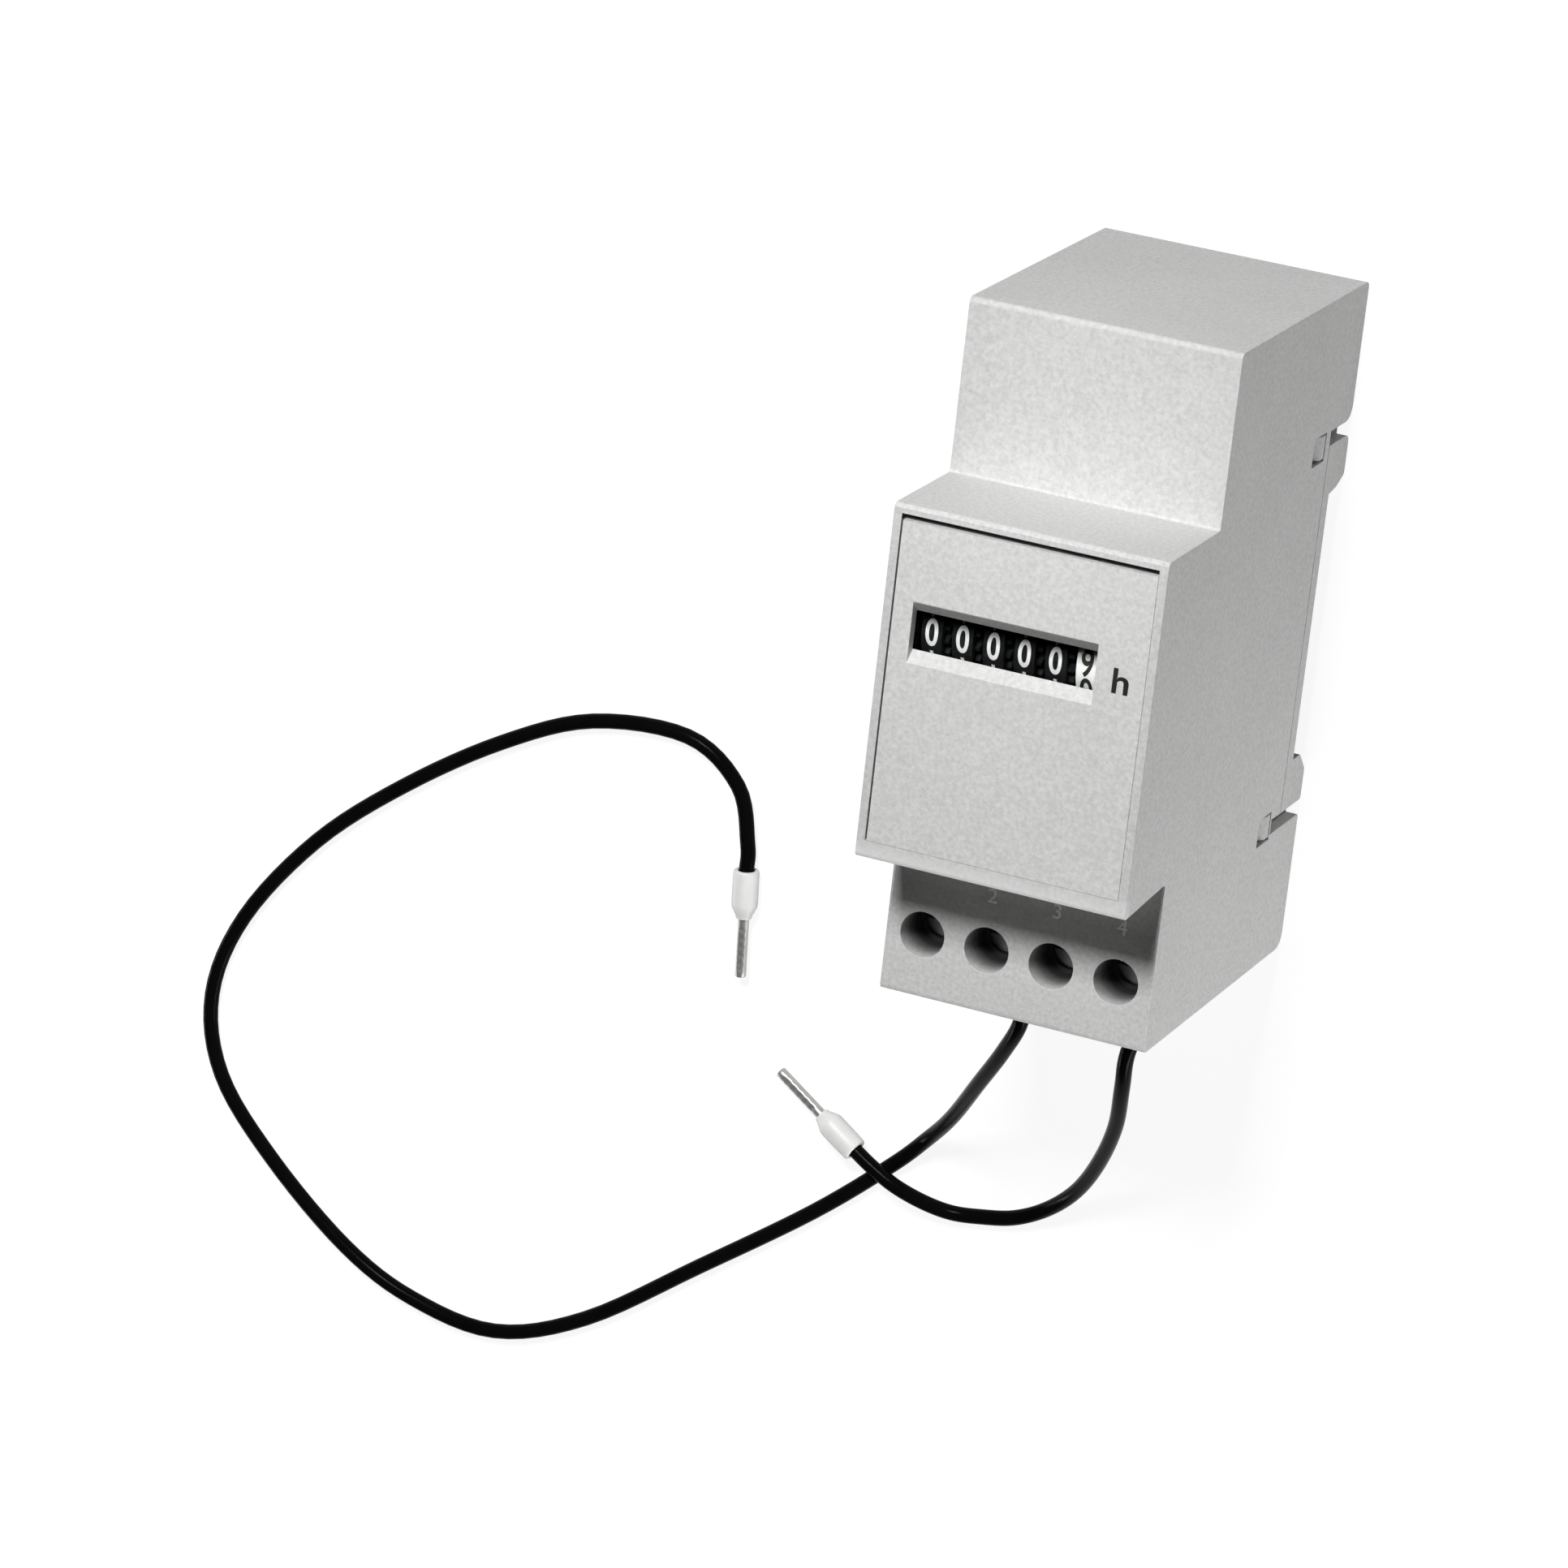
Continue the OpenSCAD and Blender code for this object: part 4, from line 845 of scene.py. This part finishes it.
# Routes of the leads in millimetres: X from the terminal's axis, Y from the bottom face and
# Z from the surface that the device lies on
ROUTES = {
    1: (
        (0, 3.7, 34), (0, 0, 33.6), (-0.6, -6.5, 32), (-4.1, -13, 27.5),
        (-9.9, -21.5, 19.5), (-16.6, -31, 9.5), (-22.2, -37.7, 3), (-27.6, -43.5, 1.1),
        (-38.1, -53, 1.1), (-53.6, -65, 1.1), (-69.6, -77, 1.1), (-83.1, -82.5, 1.1),
        (-96.1, -81, 1.1), (-107.1, -76, 1.1), (-119.6, -66, 1.1), (-128.6, -55.5, 1.1),
        (-131.1, -44, 1.1), (-127.1, -31.5, 1.1), (-117.1, -18, 1.1), (-104.6, -7, 1.1),
        (-90.6, 2.5, 1.1), (-77.6, 8.5, 1.1), (-63.6, 9.5, 1.1), (-55.6, 4.4, 1.25),
        (-53.1, -3.2, 1.65), (-52.8, -6.8, 1.8), (-52.64, -9.8, 1.8),
    ),
    2: (
        (0, 3.7, 34), (-0.7, 0, 33.6), (-3.1, -7, 32.5), (-4.6, -13.5, 28.6),
        (-7.4, -22, 21), (-11.9, -30.9, 12.6), (-16.7, -38.2, 6), (-21.6, -43.2, 2.6),
        (-26.6, -46.2, 1.3), (-31.6, -47.4, 1.1), (-35.6, -47.7, 1.5), (-39.4, -46.8, 2.5),
        (-43.3, -45.2, 3.4), (-46.8, -43.5, 3.25), (-49.7, -41.9, 2.85), (-52.26, -40.39, 2.43),
    ),
}
LEAD_TERMINAL = {1: 2, 2: 4}
# The lowest height of a lead's middle line, and the steps between two points of its route
LOWEST_LINE = 1.07 * MM
CURVE_STEPS = 6

# Ferrules: the insulated collar, the sleeve, its crimps and the strands in it
COLLAR_LENGTH = 6.8 * MM
COLLAR_RADIUS = 1.8 * MM
COLLAR_STOP = 3.2 * MM
WIRE_BORE = 1.01 * MM
SLEEVE_LENGTH = 8.3 * MM
SLEEVE_RADIUS = 0.75 * MM
SLEEVE_FOOT = 3.3 * MM
SLEEVE_SHOULDER = 0.2 * MM
SLEEVE_WALL = 0.2 * MM
SLEEVE_CHAMFER = (0.1 * MM, 0.07 * MM)
SLEEVE_SIDES = 40
CRIMP_MARGINS = (0.9 * MM, 0.8 * MM)
CRIMP_PITCH = 1.2 * MM
CRIMP_STEPS = 54
CRIMP_FADE = 4
CRIMP_FLAT = 0.12
CRIMP_NOTCH = 0.1
NOTCH_FROM = 0.6
STRAND_COUNT = 6
STRAND_SIDES = 16
STRAND_RADIUS = 0.17 * MM
STRAND_LENGTH = 2.0 * MM
STRAND_SUNK = 0.25 * MM


def terminal_x(k):
    """The middle of a terminal's screw in X, from its node."""
    low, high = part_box("terminal_screw_%d" % k)
    return (low.x + high.x) / 2


def lead_start(k):
    """The point that a lead's route is counted from."""
    return Vector((terminal_x(LEAD_TERMINAL[k]), COVER[0].y, 0))


def route_points(k):
    """A lead's route in metres, in the row frame, as a smooth line through its points."""
    knots = [lead_start(k) + Vector(p) * MM for p in ROUTES[k]]
    knots = [2 * knots[0] - knots[1]] + knots + [2 * knots[-1] - knots[-2]]
    line = []
    for a, b, c, d in zip(knots, knots[1:], knots[2:], knots[3:]):
        for step in range(CURVE_STEPS):
            t = step / CURVE_STEPS
            line.append(
                0.5
                * (
                    2 * b
                    + (c - a) * t
                    + (2 * a - 5 * b + 4 * c - d) * t**2
                    + (3 * b - a - 3 * c + d) * t**3
                )
            )
    line.append(knots[-2])
    for point in line:
        point.z = max(point.z, LOWEST_LINE)
    return line


def turned(name, profile, sides=48):
    """A ring-shaped solid about +X from a closed loop of (along, radius, shape) points.

    shape(angle) scales the radius, or is None for a plain circle.
    """
    form = bmesh.new()
    rings = []
    for along, radius, shape in profile:
        ring = []
        for i in range(sides):
            angle = 2 * math.pi * i / sides
            reach = radius * (shape(angle) if shape else 1)
            ring.append(form.verts.new((along, reach * math.cos(angle), reach * math.sin(angle))))
        rings.append(ring)
    for low, high in zip(rings, rings[1:] + rings[:1]):
        for i in range(sides):
            j = (i + 1) % sides
            form.faces.new((low[i], low[j], high[j], high[i]))
    bmesh.ops.recalc_face_normals(form, faces=form.faces)
    mesh = bpy.data.meshes.new(name)
    form.to_mesh(mesh)
    form.free()
    return link(name, mesh)


def settle(piece, start, ahead):
    """Moves a piece that was made along +X so that it starts there and points that way."""
    turn = ahead.to_track_quat("X", "Z").to_matrix().to_4x4()
    piece.data.transform(Matrix.Translation(start) @ turn)


def collar(k, start, ahead):
    """Plastic collar: a mouth with a soft rim, a long grip and a taper onto the sleeve."""
    outline = (
        (0.35 * MM, WIRE_BORE),
        (0.0, WIRE_BORE + 0.22 * MM),
        (0.0, COLLAR_RADIUS - 0.24 * MM),
        (0.1 * MM, COLLAR_RADIUS - 0.1 * MM),
        (0.3 * MM, COLLAR_RADIUS - 0.04 * MM),
        (COLLAR_LENGTH * 0.4, COLLAR_RADIUS),
        (COLLAR_LENGTH * 0.7, COLLAR_RADIUS),
        (COLLAR_LENGTH * 0.76, COLLAR_RADIUS - 0.05 * MM),
        (COLLAR_LENGTH * 0.9, COLLAR_RADIUS - 0.5 * MM),
        (COLLAR_LENGTH * 0.93, COLLAR_RADIUS - 0.62 * MM),
        (COLLAR_LENGTH, SLEEVE_RADIUS + 0.3 * MM),
        (COLLAR_LENGTH, SLEEVE_RADIUS),
        (COLLAR_STOP, SLEEVE_RADIUS),
        (COLLAR_STOP, WIRE_BORE),
    )
    piece = turned("ferrule_collar_shell_%d" % k, [(a, r, None) for a, r in outline])
    settle(piece, start, ahead)
    smooth(piece, COLLAR_ANGLE)
    stand_in(piece, "housing", "collar_white", "ferrule_collar_%d" % k)
    return piece


def pressed(depth, notch):
    """The shape of a crimped section: flats pressed by depth, and notch more on two of them."""

    def shape(angle):
        flat = (1 - depth) / max(abs(math.cos(angle)), abs(math.sin(angle)))
        groove = notch * max(0.0, abs(math.sin(angle)) - NOTCH_FROM) / (1 - NOTCH_FROM)
        return min(1.0, flat) - groove

    return shape


def sleeve(k, start, ahead):
    """Tinned sleeve with the serrated flats that the crimping tool leaves."""
    tip = COLLAR_LENGTH + SLEEVE_LENGTH
    first, last = COLLAR_LENGTH + CRIMP_MARGINS[0], tip - CRIMP_MARGINS[1]
    profile = [
        (SLEEVE_FOOT, SLEEVE_RADIUS, None),
        (COLLAR_LENGTH + SLEEVE_SHOULDER, SLEEVE_RADIUS, None),
    ]
    for i in range(CRIMP_STEPS + 1):
        along = first + (last - first) * i / CRIMP_STEPS
        fade = min(1.0, i / CRIMP_FADE, (CRIMP_STEPS - i) / CRIMP_FADE)
        wave = 0.5 - 0.5 * math.cos(2 * math.pi * (along - first) / CRIMP_PITCH)
        shape = pressed(CRIMP_FLAT * fade, CRIMP_NOTCH * wave * fade)
        profile.append((along, SLEEVE_RADIUS, shape))
    bore = SLEEVE_RADIUS - SLEEVE_WALL
    profile += [
        (tip - SLEEVE_CHAMFER[0], SLEEVE_RADIUS, None),
        (tip, SLEEVE_RADIUS - SLEEVE_CHAMFER[1], None),
        (tip, bore, None),
        (SLEEVE_FOOT, bore, None),
    ]
    piece = turned("ferrule_crimped_sleeve_%d" % k, profile, SLEEVE_SIDES)
    settle(piece, start, ahead)
    smooth(piece, SLEEVE_ANGLE)
    stand_in(piece, "housing", "sleeve_tin", "ferrule_sleeve_%d" % k)
    return piece


def strand_tree():
    """A node group: round strands packed in a ring about one in the middle, along +X."""
    net, given = node_group(
        "Strands", Count="Int", Strand_radius="Float", Length="Float", Material="Material"
    )
    ring = net.node(
        "GeometryNodeMeshCircle",
        {"fill_type": "NONE"},
        {"Vertices": given["Count"], "Radius": given["Strand radius"] * 2.0},
    )
    centre = net.node("GeometryNodeMeshLine", None, {"Count": 1})
    strand = net.node(
        "GeometryNodeMeshCylinder",
        {"fill_type": "TRIANGLE_FAN"},
        {"Vertices": STRAND_SIDES, "Radius": given["Strand radius"], "Depth": given["Length"]},
    )
    packed = net.node(
        "GeometryNodeInstanceOnPoints",
        None,
        {"Points": joined(net, ring, centre), "Instance": strand},
    )
    real = net.node("GeometryNodeRealizeInstances", None, {"Geometry": packed})
    laid = net.node(
        "GeometryNodeTransform", None, {"Geometry": real, "Rotation": (0, math.pi / 2, 0)}
    )
    return given_out(net, laid, given["Material"])


def strands(k, start, ahead):
    """Ends of the copper strands inside the tip of a sleeve."""
    piece = from_tree(
        "strand_ends_%d" % k,
        strand_tree(),
        Count=STRAND_COUNT,
        Strand_radius=STRAND_RADIUS,
        Length=STRAND_LENGTH,
        Material=FINISHES["copper"],
    )
    tip = COLLAR_LENGTH + SLEEVE_LENGTH - STRAND_SUNK
    settle(piece, start + ahead * (tip - STRAND_LENGTH / 2), ahead)
    smooth(piece)
    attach(piece, "housing")
    return piece


class COUNTER_OT_finishes(bpy.types.Operator):
    """Make the finishes and paint the solids that keep their own shape"""

    bl_idname = "counter.finishes"
    bl_label = "Finishes"

    def execute(self, context):
        make_finishes(context.scene.counter_colours)
        for name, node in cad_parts.items():
            slot = node.data.materials[0].name.split(".")[0]
            if slot not in FINISHES:
                raise RuntimeError("%s has the unknown slot %s" % (name, slot))
            node.data.materials[0] = FINISHES[slot]
        return {"FINISHED"}


class COUNTER_OT_mouldings(bpy.types.Operator):
    """Round the edges of the cover, the base, the front plate and the latch"""

    bl_idname = "counter.mouldings"
    bl_label = "Mouldings"

    def execute(self, context):
        radius = context.scene.counter_sizes.edge_radius
        for node, fit, share, slot, body in (
            ("housing_cover", cover_fit, 1.0, "housing_grey", "housing"),
            ("front_plate", plate_fit, 0.5, "plate_grey", "housing"),
            ("base_plate", Vector, 0.7, "base_grey", "housing"),
            ("rail_latch", Vector, 0.7, "base_grey", "latch"),
        ):
            stand_in(rounded_copy(node, radius * share, fit), body, slot, node)
        return {"FINISHED"}


class COUNTER_OT_spring(bpy.types.Operator):
    """Copy the spring of the rail latch as a smooth piece that rides on the housing"""

    bl_idname = "counter.spring"
    bl_label = "Latch spring"

    def execute(self, context):
        piece = link("coiled_latch_spring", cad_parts["latch_spring"].data.copy())
        smooth(piece)
        stand_in(piece, "housing", "steel", "latch_spring")
        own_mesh(piece)
        return {"FINISHED"}


class COUNTER_OT_digits(bpy.types.Operator):
    """Print the ten digits round each number wheel"""

    bl_idname = "counter.digits"
    bl_label = "Digits"

    def execute(self, context):
        sizes = context.scene.counter_sizes
        for k in range(1, WHEELS + 1):
            # The right-hand wheel stands between 9 and 0, the others show 0
            units = k == 1
            line = DIGIT_LINE + (UNITS_OFFSET if units else 0.0)
            radius = wheel_radius(k)
            centre = middle("number_wheel_%d" % k)
            piece = characters(
                "digits_%d" % k,
                String="0123456789",
                Size=sizes.digit_height * CAP_TO_SIZE,
                Width=sizes.digit_width / (sizes.digit_height * DIGIT_ASPECT),
                Step=(0, -2 * math.pi * radius / 10, 0),
                Thickness=PRINT_SUNK + sizes.print_height,
                Origin=(rim_middle(k), centre.y, centre.z),
                Turn=line / radius,
                Weight=sizes.digit_weight,
                Radius=radius - PRINT_SUNK,
                Material=FINISHES["print_black" if units else "print_white"],
            )
            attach(piece, "units" if units else "wheel_%d" % k)
        return {"FINISHED"}


class COUNTER_OT_prints(bpy.types.Operator):
    """Print the unit letter beside the window and raise the numerals above the wells"""

    bl_idname = "counter.prints"
    bl_label = "Prints"

    def execute(self, context):
        sizes = context.scene.counter_sizes
        flat = {"Turn": 0.0, "Radius": FLAT_RADIUS}
        sunk = PRINT_SUNK + FLAT_RADIUS
        letter = characters(
            "unit_letter",
            String="h",
            Size=sizes.unit_height * CAP_TO_SIZE,
            Width=LETTER_WIDTH,
            Weight=sizes.digit_weight,
            Step=(0, 0, 0),
            Thickness=PRINT_SUNK + sizes.print_height,
            Origin=(LETTER_X, LETTER_Y, PLATE_FACE - sunk),
            Material=FINISHES["print_black"],
            **flat,
        )
        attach(letter, "housing")
        numerals = characters(
            "terminal_numerals",
            String="234",
            Size=sizes.numeral_height * CAP_TO_SIZE,
            Width=1.0,
            Weight=0.0,
            Step=(terminal_x(3) - terminal_x(2), 0, 0),
            Thickness=PRINT_SUNK + NUMERAL_RISE,
            Origin=(terminal_x(2), NUMERAL_Y, STEP_FACE - sunk),
            # Painted light: the plate's paler finish, free of the step's painted shadow, makes
            # the raised numerals show lighter than the step round them
            Material=FINISHES["plate_grey"],
            **flat,
        )
        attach(numerals, "housing")
        return {"FINISHED"}


class COUNTER_OT_leads(bpy.types.Operator):
    """Draw the two leads with their ferrules"""

    bl_idname = "counter.leads"
    bl_label = "Leads"

    def execute(self, context):
        diameter = context.scene.counter_sizes.lead_diameter
        for k, route in ROUTES.items():
            points = route_points(k)
            curve = bpy.data.curves.new("insulated_lead_%d" % k, "CURVE")
            curve.dimensions = "3D"
            curve.bevel_depth = diameter / 2
            curve.bevel_resolution = 6
            curve.use_fill_caps = True
            spline = curve.splines.new("POLY")
            spline.points.add(len(points) - 1)
            for knot, point in zip(spline.points, points):
                knot.co = (*point, 1)
            lead = link("insulated_lead_%d" % k, curve)
            stand_in(lead, "housing", "lead_black", "lead_%d" % k)
            start, end = (lead_start(k) + Vector(knot) * MM for knot in route[-2:])
            ahead = (end - start).normalized()
            fittings = [make(k, start, ahead) for make in (collar, sleeve, strands)]
        return {"FINISHED"}


class COUNTER_OT_stage(bpy.types.Operator):
    """Set up the camera, the lights and the pale floor"""

    bl_idname = "counter.stage"
    bl_label = "Stage"

    def execute(self, context):
        settings = context.scene.counter_studio
        scene = context.scene
        scene.view_settings.view_transform = "Standard"
        camera = bpy.data.cameras.new("photo_camera")
        camera.lens = LENS_LENGTH
        camera.sensor_width = SENSOR_WIDTH
        camera.clip_end = VIEW_REACH
        view = link("photo_camera", camera)
        view.location = CAMERA_PLACE
        view.rotation_euler = Euler(map(math.radians, CAMERA_TURN), "XYZ")
        scene.camera = view
        for name, *place in LIGHTS:
            self.soft_light(name + "_light", getattr(settings, name), *place)

        world = bpy.data.worlds.new("even_light")
        world.use_nodes = True
        scene.world = world
        background = world.node_tree.nodes["Background"]
        background.inputs["Color"].default_value = (1, 1, 1, 1)
        background.inputs["Strength"].default_value = settings.fill

        mesh = bpy.data.meshes.new("floor")
        corners = [(x * FLOOR_REACH, y * FLOOR_REACH, 0) for x, y in FLOOR_CORNERS]
        mesh.from_pydata(corners, [], [(0, 1, 2, 3)])
        mesh.materials.append(self.paper())
        link("floor", mesh)
        return {"FINISHED"}

    @staticmethod
    def soft_light(name, strength, size, target, towards, distance, spread):
        """A rectangular area light that looks at the target from that direction."""
        lamp = bpy.data.lights.new(name, "AREA")
        lamp.shape = "RECTANGLE"
        lamp.size, lamp.size_y = size
        lamp.energy = strength
        lamp.spread = math.radians(spread)
        light = link(name, lamp)
        light.visible_camera = False
        aim = Vector(towards).normalized()
        light.location = target + aim * distance
        light.rotation_euler = aim.to_track_quat("Z", "Y").to_euler()

    @staticmethod
    def paper():
        """White paper that shows near white to the camera and keeps a soft shadow."""
        finish = Finish("white_paper", (0.15, 0.15, 0.15), 0.95)
        rays = finish.tree.nodes.new("ShaderNodeLightPath")
        camera, glossy, through = (
            Wire(finish, rays.outputs[n])
            for n in ("Is Camera Ray", "Is Glossy Ray", "Is Transmission Ray")
        )
        glow = finish.node(
            "ShaderNodeEmission",
            None,
            {"Color": (1, 1, 1, 1), "Strength": (camera + glossy + through) * PAPER_GLOW},
        )
        both = finish.node(
            "ShaderNodeAddShader", None, {0: Wire(finish, finish.shader.outputs[0]), 1: glow}
        )
        finish.feed(finish.out.inputs["Surface"], both)
        return finish.material


class COUNTER_PT_panel(bpy.types.Panel):
    """Lists the operators and the settings"""

    bl_label = "Pulse counter"
    bl_space_type = "VIEW_3D"
    bl_region_type = "UI"
    bl_category = "Counter"

    def draw(self, context):
        for group in (
            context.scene.counter_sizes,
            context.scene.counter_colours,
            context.scene.counter_studio,
        ):
            box = self.layout.box()
            for name in group.__annotations__:
                box.prop(group, name)
        for operator in OPERATORS:
            self.layout.operator(operator.bl_idname)


OPERATORS = (
    COUNTER_OT_stage,
    COUNTER_OT_finishes,
    COUNTER_OT_leads,
    COUNTER_OT_mouldings,
    COUNTER_OT_spring,
    COUNTER_OT_digits,
    COUNTER_OT_prints,
)
CLASSES = (CounterSizes, CounterColours, CounterStudio, *OPERATORS, COUNTER_PT_panel)


def register():
    for item in CLASSES:
        bpy.utils.register_class(item)
    bpy.types.Scene.counter_sizes = bpy.props.PointerProperty(type=CounterSizes)
    bpy.types.Scene.counter_colours = bpy.props.PointerProperty(type=CounterColours)
    bpy.types.Scene.counter_studio = bpy.props.PointerProperty(type=CounterStudio)


def unregister():
    del bpy.types.Scene.counter_studio
    del bpy.types.Scene.counter_colours
    del bpy.types.Scene.counter_sizes
    for item in reversed(CLASSES):
        bpy.utils.unregister_class(item)


def main():
    """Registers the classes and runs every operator."""
    register()
    for operator in OPERATORS:
        group, name = operator.bl_idname.split(".")
        getattr(getattr(bpy.ops, group), name)()


if __name__ == "__main__":
    main()
